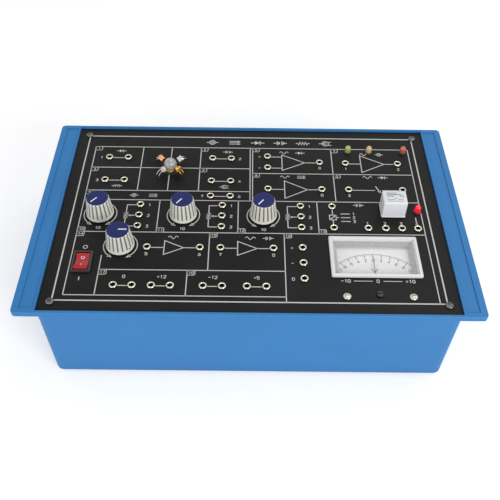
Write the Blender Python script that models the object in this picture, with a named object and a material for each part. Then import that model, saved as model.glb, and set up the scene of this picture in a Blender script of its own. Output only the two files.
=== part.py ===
"""Optical transducer trainer: a moulded bench case whose flat panel carries a lamp, light sensors,
amplifier blocks, set knobs, a relay, a centre-zero meter and rows of small patch sockets.

Sizes are in metres, +Z is up and the front of the case looks towards -Y. The origin lies under the
middle of the case, on the plane its feet stand on.
"""
from math import cos, pi, radians, sin

import bmesh
import bpy
from mathutils import Matrix, Vector

MM = 0.001
TURN = 2.0 * pi
QUARTER = pi / 2.0

# Gaps and overruns shared by every fit
FIT = 0.3 * MM
OVERRUN = 1.0 * MM

# Case moulding
CASE_WIDTH = 340.0 * MM
CASE_DEPTH = 210.0 * MM
CASE_HEIGHT = 78.5 * MM
FLANGE_WIDTH = 17.4 * MM
LIP_STEP = 0.5 * MM
RIM_THICKNESS = 4.7 * MM
RIM_CORNER = 3.0 * MM
RIM_EDGE = 0.3 * MM
DRAFT = 1.3 * MM
WALL = 3.0 * MM
FLOOR = 3.0 * MM
TUB_CORNER = 5.0 * MM
TUB_FOOT_ROUND = 2.5 * MM
TRAY_INNER_RIM = 1.4 * MM
TRAY_OUTER_RIM = 5.2 * MM
TRAY_END_RIM = 4.2 * MM
TRAY_DEPTH = 0.8 * MM
LEDGE_WIDTH = 6.0 * MM
LEDGE_THICKNESS = 4.0 * MM
LEDGE_CORNER = 20.0 * MM

# Rubber feet
FOOT_HEIGHT = 4.0 * MM
FOOT_RADIUS = 6.5 * MM
FOOT_TAPER = 0.8 * MM
FOOT_RECESS_RADIUS = 2.6 * MM
FOOT_RECESS_DEPTH = 1.8 * MM
FOOT_INSET = 22.0 * MM

# Panel plate
PANEL_OVERHANG = 0.4 * MM
PANEL_RIM = 2.2 * MM
PANEL_RECESS = 1.8 * MM
PANEL_THICKNESS = 2.0 * MM
PANEL_CORNER = 1.0 * MM

# Dome-headed screws of the panel and of the meter
SCREW_INSET_X = 9.0 * MM
SCREW_INSET_Y = 9.3 * MM
SCREW_HEAD_RADIUS = 3.1 * MM
SCREW_HEAD_HEIGHT = 1.6 * MM
SCREW_SHANK_RADIUS = 1.5 * MM
SCREW_LENGTH = 6.0 * MM
SCREW_RIM_SHARE = 0.33
SCREW_SHOULDER_SHARE = 0.8
SCREW_SHOULDER_RADIUS_SHARE = 0.65
SCREW_SLOT_WIDTH = 0.7 * MM
SCREW_SLOT_DEPTH = 0.7 * MM

# Patch sockets and the strips they are soldered to
SOCKET_COLLAR_RADIUS = 3.0 * MM
SOCKET_COLLAR_HEIGHT = 1.4 * MM
SOCKET_STEM_RADIUS = 1.9 * MM
SOCKET_HOLE_RADIUS = 1.05 * MM
SOCKET_HOLE_DEPTH = 9.0 * MM
STRIP_DROP = 9.0 * MM
STRIP_THICKNESS = 1.6 * MM
STRIP_MARGIN = 4.0 * MM
STRIP_EDGE = 0.5 * MM

# Socket columns, as shares of half the panel opening's width
LEFT_SENSOR_SHARE = -0.79869
RIGHT_SENSOR_SHARE = -0.21569
COMPARATOR_IN_SHARE = 0.09477
COMPARATOR_OUT_SHARE = 0.38693
DRIVER_IN_SHARE = 0.53333
DRIVER_OUT_SHARE = 0.82680
POT_SOCKET_SHARES = (-0.58366, -0.14967, 0.26471)
COIL_SOCKET_SHARE = 0.43268
CONTACT_SOCKET_SHARES = (0.61046, 0.70065, 0.78497, 0.86732)
AMPLIFIER_SHARES = (-0.51961, -0.25359, -0.14967, 0.11699)
SUPPLY_SHARES = (-0.65752, -0.56797, -0.47516, -0.38431, -0.22680, -0.13464, -0.01503, 0.07843)
METER_SOCKET_ROOM_SHARE = 0.53468

# Socket rows: pitches, the steps from one row to the next, and shares of the room behind the relay
SENSOR_PITCH = 16.2 * MM
COMPARATOR_IN_PITCH = 14.4 * MM
POT_SOCKET_PITCH = 11.9 * MM
METER_SOCKET_PITCH = 15.4 * MM
METER_SOCKET_SETBACK = 6.5 * MM
CONTACT_ROW_STEP = 6.9 * MM
INPUT_ROW_STEP = 10.9 * MM
SUPPLY_ROW_INSET = 24.9 * MM
AMPLIFIER_ROW_STEP = 37.8 * MM
SENSOR_REAR_SHARE = 0.61194
SENSOR_FRONT_SHARE = 0.32736
COMPARATOR_SHARE = 0.57214
DRIVER_REAR_SHARE = 0.56517
DRIVER_FRONT_SHARE = 0.23781

# Set knobs, in the order a, b, c and offset
KNOB_NAMES = ("a", "b", "c", "offset")
KNOB_SHARES = (-0.78627, -0.35163, 0.06732, -0.65359)
KNOB_ROW_STEP = (1.2 * MM, 1.0 * MM, 0.9 * MM)
OFFSET_KNOB_STEP = 1.5 * MM
KNOB_POINTER_DEG = (-140.0, -143.0, -143.0, 90.0)
KNOB_BASE_RADIUS = 10.9 * MM
KNOB_TOP_RADIUS = 9.0 * MM
KNOB_BASE_BAND = 2.0 * MM
KNOB_HEIGHT = 16.6 * MM
KNOB_CLEARANCE = 1.0 * MM
KNOB_FLUTES = 18
KNOB_FLUTE_DEPTH = 0.55 * MM
KNOB_TOP_EDGE = 0.6 * MM
KNOB_HOLLOW_RADIUS = 8.0 * MM
KNOB_HOLLOW_DEPTH = 4.5 * MM
KNOB_BORE_DEPTH = 12.0 * MM
CAP_SEAT_RADIUS = 8.1 * MM
CAP_SEAT_DEPTH = 1.0 * MM
CAP_RISE = 0.9 * MM
CAP_CROWN = 0.3 * MM
POINTER_WIDTH = 1.5 * MM
POINTER_RISE = 0.25 * MM

# Potentiometers under the knobs
SHAFT_RADIUS = 3.0 * MM
BUSH_RADIUS = 4.2 * MM
POT_NUT_RADIUS = 6.4 * MM
POT_NUT_HEIGHT = 2.2 * MM
POT_BUSH_RISE = 3.4 * MM
POT_BODY_RADIUS = 11.6 * MM
POT_BODY_HEIGHT = 10.0 * MM
POT_BODY_WALL = 1.2 * MM
WIPER_THICKNESS = 1.5 * MM
WIPER_RADIUS = 8.5 * MM

# Lamp and its holder
LAMP_ACROSS_SHARE = -0.44575
LAMP_REAR_SHARE = 0.46667
GLOBE_RADIUS = 5.5 * MM
GLOBE_CENTRE_RISE = 6.2 * MM
GLOBE_FOOT_DEG = -50.0
GLOBE_STEPS = 5
LAMP_NECK_RADIUS = 3.5 * MM
LAMP_CAP_RADIUS = 4.7 * MM
LAMP_CAP_LENGTH = 10.0 * MM
LAMP_TIP_RADIUS = 1.6 * MM
LAMP_TIP_LENGTH = 1.4 * MM
HOLDER_FLANGE_RADIUS = 7.2 * MM
HOLDER_FLANGE_HEIGHT = 0.9 * MM
HOLDER_RADIUS = 6.2 * MM
HOLDER_FLOOR = 1.2 * MM

# Light sensors round the lamp: name, bearing from the lamp, radius and length of the can
SENSOR_NAMES = ("photodiode", "phototransistor", "photoconductive_cell", "photovoltaic_cell")
SENSOR_BEARING_DEG = (142.0, 35.0, 232.0, 315.0)
SENSOR_RADIUS = (2.7 * MM, 2.9 * MM, 2.5 * MM, 2.7 * MM)
SENSOR_LENGTH = (4.6 * MM, 4.2 * MM, 2.6 * MM, 4.4 * MM)
SENSOR_BRIM = 0.5 * MM
SENSOR_BRIM_THICKNESS = 0.7 * MM
SENSOR_REACH = 7.6 * MM
SENSOR_RISE = 6.0 * MM
SENSOR_TILT_DEG = 14.0
LEAD_RADIUS = 0.35 * MM
LEAD_PITCH = 2.6 * MM
LEAD_BEND_RISE = 4.4 * MM
LEAD_HOLE_REACH = 15.6 * MM
LEAD_TAIL = 2.0 * MM
LEAD_BEND_SHARE = 0.6
LEAD_UPRIGHT_DEG = 10.0

# Plug-in relay
RELAY_SHARE = 0.74967
RELAY_ROW_STEP = 9.3 * MM
RELAY_WIDTH = 19.4 * MM
RELAY_DEPTH = 15.4 * MM
RELAY_HEIGHT = 15.5 * MM
RELAY_WALL = 0.8 * MM
RELAY_CORNER = 0.9 * MM
RELAY_PLATE = 1.6 * MM
RELAY_PIN = 0.9 * MM
RELAY_PIN_LENGTH = 3.6 * MM
RELAY_PIN_INSET = 3.0 * MM
YOKE_THICKNESS = 1.2 * MM
YOKE_WIDTH = 8.0 * MM
COIL_RADIUS = 4.6 * MM
COIL_FLANGE = 0.7 * MM
COIL_FLANGE_RADIUS = 5.4 * MM
COIL_HEIGHT = 9.0 * MM
ARMATURE_THICKNESS = 0.8 * MM
ARMATURE_LIFT = 0.9 * MM

# Indicator lamps
LED_RADIUS = 2.5 * MM
LED_BRIM = 0.4 * MM
LED_BRIM_HEIGHT = 1.0 * MM
LED_RISE = 6.4 * MM
LED_DOME_DEG = (0.0, 30.0, 60.0)
RELAY_LED_SHARE = 0.88366
RELAY_LED_SETBACK = 0.2 * MM
INDICATOR_SHARES = (0.55556, 0.67582, 0.87059)
INDICATOR_REAR_SHARE = 0.72537
INDICATOR_STRIP_HALF = 3.0 * MM

# Rocker switch
ROCKER_SHARE = -0.82810
ROCKER_INSET = 46.8 * MM
ROCKER_WIDTH = 10.6 * MM
ROCKER_RADIUS = 8.4 * MM
ROCKER_TILT_DEG = 9.0
ROCKER_RISE_DEG = 24.0
ROCKER_DROP_DEG = -28.0
ROCKER_STEPS = 4
ROCKER_PIVOT_DROP = 0.6 * MM
ROCKER_CREST = 1.6 * MM
ROCKER_KEEL = 4.2 * MM
SWITCH_WIDTH = 15.0 * MM
SWITCH_LENGTH = 21.0 * MM
SWITCH_BEZEL_HEIGHT = 1.8 * MM
SWITCH_BEZEL_EDGE = 0.6 * MM
SWITCH_WALL = 1.0 * MM
SWITCH_BODY_DEPTH = 14.0 * MM
SWITCH_POCKET_DEPTH = 8.0 * MM
SWITCH_CORNER = 1.0 * MM

# Moving-coil meter
METER_SIDE_INSET = 19.5 * MM
METER_INSET = 7.8 * MM
METER_PIVOT_INSET = 11.0 * MM
BEZEL_WIDTH = 68.4 * MM
BEZEL_LENGTH = 40.4 * MM
BEZEL_INSET = 26.7 * MM
BEZEL_HEIGHT = 2.2 * MM
BEZEL_FLANGE = 1.8 * MM
BEZEL_CORNER = 1.2 * MM
BEZEL_INNER_CORNER = 0.4 * MM
BEZEL_NECK_WALL = 1.4 * MM
BEZEL_NECK_DROP = 3.2 * MM
WINDOW_RABBET = 0.8 * MM
WINDOW_THICKNESS = 1.2 * MM
DIAL_DROP = 5.4 * MM
DIAL_THICKNESS = 0.8 * MM
DIAL_INSET = 22.0 * MM
METER_CASE_SIDE = 4.3 * MM
METER_CASE_REAR = 3.3 * MM
METER_CASE_DEPTH = 30.0 * MM
METER_CASE_WALL = 1.6 * MM
METER_CASE_CORNER = 4.0 * MM
METER_CASE_STEP = 1.4 * MM
METER_SCREW_SPREAD = 48.4 * MM
METER_SCREW_INSET = 8.8 * MM
METER_SCREW_POST = 3.4 * MM
MAGNET_WIDTH = 26.0 * MM
MAGNET_LENGTH = 15.0 * MM
MAGNET_HEIGHT = 15.0 * MM
MAGNET_BORE_RADIUS = 6.0 * MM
COIL_DRUM_RADIUS = 5.0 * MM
COIL_DRUM_HEIGHT = 8.0 * MM
PIVOT_RADIUS = 0.8 * MM
NEEDLE_HUB_RADIUS = 2.0 * MM
NEEDLE_REACH = 40.5 * MM
NEEDLE_WIDTH = 0.9 * MM
NEEDLE_TIP_WIDTH = 0.5 * MM
NEEDLE_THICKNESS = 0.5 * MM
NEEDLE_LIFT = 1.0 * MM
NEEDLE_TAIL = 6.0 * MM
NEEDLE_WEIGHT_WIDTH = 3.0 * MM
ZERO_HEAD_RADIUS = 2.7 * MM
ZERO_HEAD_HEIGHT = 1.5 * MM
ZERO_STEM_RADIUS = 1.5 * MM
ZERO_STEM_LENGTH = 3.4 * MM
ZERO_SLOT_WIDTH = 0.8 * MM
ZERO_SLOT_DEPTH = 0.8 * MM

# Mains inlet in the rear wall
INLET_INSET = 38.3 * MM
INLET_HEIGHT = 40.0 * MM
INLET_MOUTH_WIDTH = 24.8 * MM
INLET_MOUTH_TALL = 16.2 * MM
INLET_MOUTH_DEPTH = 15.0 * MM
INLET_WALL = 1.4 * MM
INLET_BACK = 2.0 * MM
INLET_CORNER = 2.0 * MM
INLET_FLANGE = 4.0 * MM
INLET_FLANGE_THICKNESS = 2.0 * MM
INLET_PIN_WIDTH = 2.0 * MM
INLET_PIN_TALL = 4.0 * MM
INLET_PIN_LENGTH = 13.0 * MM
INLET_PIN_SPREAD = 7.0 * MM
INLET_EARTH_RISE = 2.0 * MM
INLET_PAIR_DROP = 2.0 * MM

# Transformer on the floor
CORE_SIDE_GAP = 15.3 * MM
CORE_SETBACK = 3.0 * MM
CORE_WIDTH = 48.0 * MM
CORE_DEPTH = 24.0 * MM
CORE_HEIGHT = 40.0 * MM
CORE_LEG = 8.0 * MM
CORE_CENTRE_LEG = 16.0 * MM
CORE_TAB_WIDTH = 66.0 * MM
CORE_TAB_THICKNESS = 2.0 * MM
WINDING_BULGE = 6.0 * MM

# Main circuit board on its posts
BOARD_CORE_GAP = 2.0 * MM
BOARD_SIDE_GAP = 23.3 * MM
BOARD_FRONT_GAP = 33.2 * MM
BOARD_REAR_GAP = 37.2 * MM
BOARD_THICKNESS = 1.6 * MM
BOARD_INSET = 7.0 * MM
POST_RADIUS = 3.5 * MM
POST_HEIGHT = 6.0 * MM
CAPACITOR_RADIUS = 8.0 * MM
CAPACITOR_HEIGHT = 22.0 * MM
CAPACITOR_PITCH = 24.0 * MM
SINK_WIDTH = 28.0 * MM
SINK_DEPTH = 12.0 * MM
SINK_HEIGHT = 18.0 * MM

# How finely the round shapes are cut
CORNER_STEPS = 3
SOCKET_SIDES = 8
SCREW_SIDES = 10
LED_SIDES = 10
BUSH_SIDES = 12
BODY_SIDES = 16
CAP_SIDES = 18
LEAD_SIDES = 5
SMOOTH_LIMIT = radians(35.0)

# Heights that follow from the sizes above
RIM_TOP = FOOT_HEIGHT + CASE_HEIGHT
RIM_UNDER = RIM_TOP - RIM_THICKNESS
PANEL_TOP = RIM_TOP - PANEL_RECESS
PANEL_UNDER = PANEL_TOP - PANEL_THICKNESS
LEDGE_TOP = PANEL_UNDER - FIT
FLOOR_TOP = FOOT_HEIGHT + FLOOR
STRIP_TOP = PANEL_UNDER - STRIP_DROP
STRIP_UNDER = STRIP_TOP - STRIP_THICKNESS
DIAL_TOP = PANEL_TOP - DIAL_DROP
METER_FLOOR = PANEL_UNDER - FIT - METER_CASE_DEPTH + METER_CASE_WALL

# Half sizes of the tub outside, of its room at the floor, and of the panel opening
TUB_HALF_X = CASE_WIDTH / 2 - FLANGE_WIDTH
TUB_HALF_Y = CASE_DEPTH / 2 - LIP_STEP
ROOM_HALF_X = TUB_HALF_X - DRAFT - WALL
ROOM_HALF_Y = TUB_HALF_Y - DRAFT - WALL
OPENING_HALF_X = TUB_HALF_X + PANEL_OVERHANG
OPENING_HALF_Y = CASE_DEPTH / 2 - PANEL_RIM

# Places of the meter, from the front right corner of the panel opening
METER_CASE_FRONT_Y = METER_INSET - OPENING_HALF_Y
METER_PIVOT_Y = METER_CASE_FRONT_Y + METER_PIVOT_INSET
METER_SCREW_Y = METER_CASE_FRONT_Y + METER_SCREW_INSET
DIAL_FRONT_Y = METER_CASE_FRONT_Y + DIAL_INSET
BEZEL_CENTRE_Y = METER_CASE_FRONT_Y + BEZEL_INSET + BEZEL_LENGTH / 2
METER_CASE_REAR_Y = BEZEL_CENTRE_Y + BEZEL_LENGTH / 2 + METER_CASE_REAR
METER_CASE_WIDTH = BEZEL_WIDTH + 2 * METER_CASE_SIDE
METER_CASE_LEFT_X = OPENING_HALF_X - METER_SIDE_INSET - METER_CASE_WIDTH
METER_X = METER_CASE_LEFT_X + METER_CASE_WIDTH / 2

# Columns across the panel
LEFT_SENSOR_X = LEFT_SENSOR_SHARE * OPENING_HALF_X
RIGHT_SENSOR_X = RIGHT_SENSOR_SHARE * OPENING_HALF_X
COMPARATOR_IN_X = COMPARATOR_IN_SHARE * OPENING_HALF_X
COMPARATOR_OUT_X = COMPARATOR_OUT_SHARE * OPENING_HALF_X
DRIVER_IN_X = DRIVER_IN_SHARE * OPENING_HALF_X
DRIVER_OUT_X = DRIVER_OUT_SHARE * OPENING_HALF_X
POT_SOCKET_X = [share * OPENING_HALF_X for share in POT_SOCKET_SHARES]
COIL_SOCKET_X = COIL_SOCKET_SHARE * OPENING_HALF_X
CONTACT_SOCKET_X = [share * OPENING_HALF_X for share in CONTACT_SOCKET_SHARES]
AMPLIFIER_X = [share * OPENING_HALF_X for share in AMPLIFIER_SHARES]
SUPPLY_X = [share * OPENING_HALF_X for share in SUPPLY_SHARES]
FRONT_STRIP_RIGHT = AMPLIFIER_X[-1] + STRIP_MARGIN
METER_SOCKET_X = FRONT_STRIP_RIGHT + METER_SOCKET_ROOM_SHARE * (METER_CASE_LEFT_X - FRONT_STRIP_RIGHT)
KNOB_X = [share * OPENING_HALF_X for share in KNOB_SHARES]
LAMP_X = LAMP_ACROSS_SHARE * OPENING_HALF_X
RELAY_X = RELAY_SHARE * OPENING_HALF_X
RELAY_LED_X = RELAY_LED_SHARE * OPENING_HALF_X
INDICATOR_X = [share * OPENING_HALF_X for share in INDICATOR_SHARES]
ROCKER_X = ROCKER_SHARE * OPENING_HALF_X

# Rows, from the front edge of the opening to the relay and then to its rear edge
SUPPLY_Y = SUPPLY_ROW_INSET - OPENING_HALF_Y
AMPLIFIER_Y = SUPPLY_Y + AMPLIFIER_ROW_STEP
ROCKER_Y = ROCKER_INSET - OPENING_HALF_Y
METER_SOCKET_Y = BEZEL_CENTRE_Y - METER_SOCKET_SETBACK
CONTACT_ROW_Y = METER_CASE_REAR_Y + CONTACT_ROW_STEP
POT_SOCKET_Y = CONTACT_ROW_Y + POT_SOCKET_PITCH
INPUT_ROW_Y = POT_SOCKET_Y + POT_SOCKET_PITCH + INPUT_ROW_STEP
KNOB_Y = [POT_SOCKET_Y + step for step in KNOB_ROW_STEP] + [AMPLIFIER_Y + OFFSET_KNOB_STEP]
RELAY_Y = CONTACT_ROW_Y + SOCKET_COLLAR_RADIUS + RELAY_ROW_STEP + RELAY_DEPTH / 2
RELAY_LED_Y = RELAY_Y - RELAY_LED_SETBACK
REAR_ROOM = OPENING_HALF_Y - RELAY_Y
SENSOR_REAR_Y = RELAY_Y + SENSOR_REAR_SHARE * REAR_ROOM
SENSOR_FRONT_Y = RELAY_Y + SENSOR_FRONT_SHARE * REAR_ROOM
COMPARATOR_Y = RELAY_Y + COMPARATOR_SHARE * REAR_ROOM
DRIVER_REAR_Y = RELAY_Y + DRIVER_REAR_SHARE * REAR_ROOM
DRIVER_FRONT_Y = RELAY_Y + DRIVER_FRONT_SHARE * REAR_ROOM
LAMP_Y = RELAY_Y + LAMP_REAR_SHARE * REAR_ROOM
INDICATOR_Y = RELAY_Y + INDICATOR_REAR_SHARE * REAR_ROOM

# Inlet, transformer and board, from the inner faces of the tub
INLET_X = INLET_INSET - ROOM_HALF_X
CORE_X = CORE_SIDE_GAP + CORE_TAB_WIDTH / 2 - ROOM_HALF_X
BOARD_LEFT = CORE_X + CORE_TAB_WIDTH / 2 + BOARD_CORE_GAP
BOARD_RIGHT = ROOM_HALF_X - BOARD_SIDE_GAP
BOARD_FRONT = BOARD_FRONT_GAP - ROOM_HALF_Y
BOARD_REAR = ROOM_HALF_Y - BOARD_REAR_GAP
BOARD_X = (BOARD_LEFT + BOARD_RIGHT) / 2
BOARD_Y = (BOARD_FRONT + BOARD_REAR) / 2
BOARD_WIDTH = BOARD_RIGHT - BOARD_LEFT
BOARD_LENGTH = BOARD_REAR - BOARD_FRONT
CORE_Y = BOARD_Y - CORE_SETBACK


def clear_scene():
    """Remove every object that the start-up scene holds."""
    for thing in list(bpy.data.objects):
        bpy.data.objects.remove(thing, do_unlink=True)


def surface(name, colour, roughness, metallic=0.0, alpha=1.0):
    """Return a Principled material with one colour."""
    material = bpy.data.materials.get(name)
    if material is None:
        material = bpy.data.materials.new(name)
        material.use_nodes = True
        shader = material.node_tree.nodes["Principled BSDF"]
        shader.inputs["Base Color"].default_value = (*colour, 1.0)
        shader.inputs["Roughness"].default_value = roughness
        shader.inputs["Metallic"].default_value = metallic
        shader.inputs["Alpha"].default_value = alpha
        material.diffuse_color = (*colour, alpha)
    return material


def blue_moulding():
    return surface("blue_moulding", (0.05, 0.20, 0.50), 0.35)


def black_print():
    return surface("black_panel", (0.012, 0.012, 0.014), 0.30)


def black_plastic():
    return surface("black_plastic", (0.02, 0.02, 0.02), 0.40)


def white_plastic():
    return surface("white_plastic", (0.80, 0.80, 0.78), 0.35)


def pale_knob():
    return surface("pale_knob", (0.52, 0.52, 0.50), 0.40)


def navy_cap():
    return surface("navy_cap", (0.03, 0.05, 0.20), 0.35)


def bright_steel():
    return surface("bright_steel", (0.60, 0.60, 0.60), 0.25, 1.0)


def brass_metal():
    return surface("brass", (0.70, 0.50, 0.22), 0.30, 1.0)


def copper_metal():
    return surface("copper", (0.72, 0.38, 0.22), 0.35, 1.0)


def clear_glass():
    return surface("clear_glass", (0.90, 0.93, 0.93), 0.05, 0.0, 0.35)


def green_board():
    return surface("green_board", (0.03, 0.16, 0.07), 0.50)


def grey_steel():
    return surface("grey_steel", (0.28, 0.28, 0.29), 0.50, 1.0)


def red_plastic():
    return surface("red_plastic", (0.55, 0.02, 0.02), 0.25)


def rubber_black():
    return surface("foot_rubber", (0.02, 0.02, 0.02), 0.80)


def thread_rings(bm, rings, closed=False):
    """Skin a row of rings; a ring of one point is a pole, and a closed row has no end caps."""
    loops = [[bm.verts.new(point) for point in ring] for ring in rings]
    pairs = list(zip(loops, loops[1:]))
    if closed:
        pairs.append((loops[-1], loops[0]))
    for low, high in pairs:
        count = max(len(low), len(high))
        for i in range(count):
            j = (i + 1) % count
            if len(low) == 1:
                bm.faces.new((low[0], high[j], high[i]))
            elif len(high) == 1:
                bm.faces.new((low[i], low[j], high[0]))
            else:
                bm.faces.new((low[i], low[j], high[j], high[i]))
    if not closed:
        if len(loops[0]) > 1:
            bm.faces.new(list(reversed(loops[0])))
        if len(loops[-1]) > 1:
            bm.faces.new(loops[-1])


def disc_ring(radius, height, sides, centre=(0.0, 0.0)):
    """Points round a circle, or its one middle point when the radius is zero."""
    if radius == 0:
        return [(centre[0], centre[1], height)]
    turns = [TURN * i / sides for i in range(sides)]
    return [(centre[0] + radius * cos(t), centre[1] + radius * sin(t), height) for t in turns]


def rect_ring(half_x, half_y, radius, height, centre=(0.0, 0.0)):
    """Points round a rectangle with rounded corners, anticlockwise from +X."""
    points = []
    for quarter in range(4):
        side_x = 1 if quarter in (0, 3) else -1
        side_y = 1 if quarter in (0, 1) else -1
        middle_x = centre[0] + side_x * (half_x - radius)
        middle_y = centre[1] + side_y * (half_y - radius)
        for step in range(CORNER_STEPS + 1):
            turn = QUARTER * (quarter + step / CORNER_STEPS)
            points.append((middle_x + radius * cos(turn), middle_y + radius * sin(turn), height))
    return points


def add_turned(bm, profile, sides, centre=(0.0, 0.0), closed=False):
    """Turn a profile of (radius, height) points round a vertical axis."""
    thread_rings(bm, [disc_ring(radius, height, sides, centre) for radius, height in profile], closed)


def add_block(bm, low, high):
    """Add an upright box between two corners."""
    corners = [(low[0], low[1]), (high[0], low[1]), (high[0], high[1]), (low[0], high[1])]
    thread_rings(bm, [[(x, y, low[2]) for x, y in corners], [(x, y, high[2]) for x, y in corners]])


def add_prism(bm, outline, low, high):
    """Raise a flat outline of (x, y) points into a solid between two heights."""
    thread_rings(bm, [[(x, y, low) for x, y in outline], [(x, y, high) for x, y in outline]])


def make_piece(name, bm, material, origin=(0.0, 0.0, 0.0), turn=None):
    """Close a bmesh into a named object whose mesh lies about the given origin."""
    bmesh.ops.recalc_face_normals(bm, faces=bm.faces[:])
    mesh = bpy.data.meshes.new(name)
    bm.to_mesh(mesh)
    bm.free()
    mesh.transform(Matrix.Translation(-Vector(origin)))
    if turn is not None:
        mesh.transform(turn)
    mesh.materials.append(material)
    mesh.shade_smooth()
    mesh.set_sharp_from_angle(angle=SMOOTH_LIMIT)
    piece = bpy.data.objects.new(name, mesh)
    piece.location = origin
    bpy.context.scene.collection.objects.link(piece)
    return piece


def combine(piece, operation, *tools):
    """Cut or join shapes with the piece, then take the shapes away."""
    for number, bm in enumerate(tools):
        tool = make_piece(piece.name + "_tool" + str(number), bm, piece.data.materials[0])
        tool.hide_render = True
        tool.display_type = "WIRE"
        step = piece.modifiers.new("shape", "BOOLEAN")
        step.solver = "EXACT"
        step.operation = operation
        step.object = tool
        bpy.context.view_layer.update()
        shaped = piece.evaluated_get(bpy.context.evaluated_depsgraph_get())
        mesh = bpy.data.meshes.new_from_object(shaped)
        piece.modifiers.remove(step)
        old = piece.data
        piece.data = mesh
        bpy.data.meshes.remove(old)
        bpy.data.objects.remove(tool, do_unlink=True)
        mesh.set_sharp_from_angle(angle=SMOOTH_LIMIT)
    piece.data.name = piece.name
    return piece


def cut(piece, *tools):
    return combine(piece, "DIFFERENCE", *tools)


def join(piece, *tools):
    return combine(piece, "UNION", *tools)


def corner_places(half_x, half_y):
    """The four corners of a rectangle about the middle of the case."""
    return [(side_x * half_x, side_y * half_y) for side_x in (-1, 1) for side_y in (-1, 1)]


def screw_places():
    return corner_places(OPENING_HALF_X - SCREW_INSET_X, OPENING_HALF_Y - SCREW_INSET_Y)


def post_places():
    corners = corner_places(BOARD_WIDTH / 2 - BOARD_INSET, BOARD_LENGTH / 2 - BOARD_INSET)
    return [(BOARD_X + x, BOARD_Y + y) for x, y in corners]


def socket_groups():
    """Places of the patch sockets, group by group, each group on one strip."""
    left = [(LEFT_SENSOR_X + step * SENSOR_PITCH, y)
            for y in (SENSOR_REAR_Y, SENSOR_FRONT_Y) for step in (0, 1)]
    right = [(RIGHT_SENSOR_X + step * SENSOR_PITCH, y)
             for y in (SENSOR_REAR_Y, SENSOR_FRONT_Y, INPUT_ROW_Y) for step in (0, 1)]
    rear = [(COMPARATOR_IN_X, COMPARATOR_Y + COMPARATOR_IN_PITCH / 2),
            (COMPARATOR_IN_X, COMPARATOR_Y - COMPARATOR_IN_PITCH / 2),
            (COMPARATOR_OUT_X, COMPARATOR_Y),
            (COMPARATOR_IN_X, DRIVER_FRONT_Y),
            (COMPARATOR_OUT_X, DRIVER_FRONT_Y)]
    rear += [(x, y) for y in (DRIVER_REAR_Y, DRIVER_FRONT_Y) for x in (DRIVER_IN_X, DRIVER_OUT_X)]
    pots = [(x, POT_SOCKET_Y + step * POT_SOCKET_PITCH) for x in POT_SOCKET_X for step in (1, 0, -1)]
    coil = [(COIL_SOCKET_X, POT_SOCKET_Y + step * POT_SOCKET_PITCH) for step in (1, -1)]
    contacts = [(x, CONTACT_ROW_Y) for x in CONTACT_SOCKET_X]
    front = [(x, AMPLIFIER_Y) for x in AMPLIFIER_X] + [(x, SUPPLY_Y) for x in SUPPLY_X]
    meter = [(METER_SOCKET_X, METER_SOCKET_Y + step * METER_SOCKET_PITCH) for step in (1, 0, -1)]
    return {"sockets_left_sensors": left, "sockets_right_sensors": right, "sockets_rear_blocks": rear,
            "sockets_pots": pots, "sockets_relay": coil + contacts, "sockets_front_blocks": front,
            "sockets_meter": meter}


def pot_strip_outline():
    """A comb: a bar in front of the pots with a tooth behind each socket column."""
    front, back = CONTACT_ROW_Y - STRIP_MARGIN, CONTACT_ROW_Y + STRIP_EDGE
    tip = POT_SOCKET_Y + POT_SOCKET_PITCH + STRIP_MARGIN
    outline = [(POT_SOCKET_X[0] - STRIP_MARGIN, front), (POT_SOCKET_X[-1] + STRIP_MARGIN, front)]
    for x in reversed(POT_SOCKET_X):
        outline += [(x + STRIP_MARGIN, back), (x + STRIP_MARGIN, tip),
                    (x - STRIP_MARGIN, tip), (x - STRIP_MARGIN, back)]
    return outline[:2] + outline[3:-1]


def front_strip_outline():
    """An L: the supply row's strip with the amplifier row's strip behind its right part."""
    front, middle = SUPPLY_Y - STRIP_MARGIN, SUPPLY_Y + STRIP_MARGIN
    back = AMPLIFIER_Y + STRIP_MARGIN
    left, right = SUPPLY_X[0] - STRIP_MARGIN, FRONT_STRIP_RIGHT
    inner = AMPLIFIER_X[0] - STRIP_MARGIN
    return [(left, front), (right, front), (right, back), (inner, back), (inner, middle), (left, middle)]


def box_outline(places):
    """The rectangle that holds a group of sockets with the strip's margin round them."""
    xs, ys = [x for x, _ in places], [y for _, y in places]
    left, right = min(xs) - STRIP_MARGIN, max(xs) + STRIP_MARGIN
    front, back = min(ys) - STRIP_MARGIN, max(ys) + STRIP_MARGIN
    return [(left, front), (right, front), (right, back), (left, back)]


def bearing(degrees_round, reach, centre):
    """A place at a bearing from +X and a distance from a centre."""
    turn = radians(degrees_round)
    return (centre[0] + reach * cos(turn), centre[1] + reach * sin(turn))


def lead_holes():
    """Where the two leads of each sensor go through the panel."""
    places = []
    for heading in SENSOR_BEARING_DEG:
        x, y = bearing(heading, LEAD_HOLE_REACH, (LAMP_X, LAMP_Y))
        across = radians(heading) + QUARTER
        for side in (-1, 1):
            reach = side * LEAD_PITCH / 2
            places.append((x + reach * cos(across), y + reach * sin(across)))
    return places


def pin_places():
    """The relay's pins: two at the coil end and three at the contact end."""
    half_x = RELAY_WIDTH / 2 - RELAY_PIN_INSET
    half_y = RELAY_DEPTH / 2 - RELAY_PIN_INSET
    corners = [(side_x * half_x, side_y * half_y) for side_x in (-1, 1) for side_y in (-1, 1)]
    return [(RELAY_X + x, RELAY_Y + y) for x, y in corners + [(half_x, 0)]]


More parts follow.
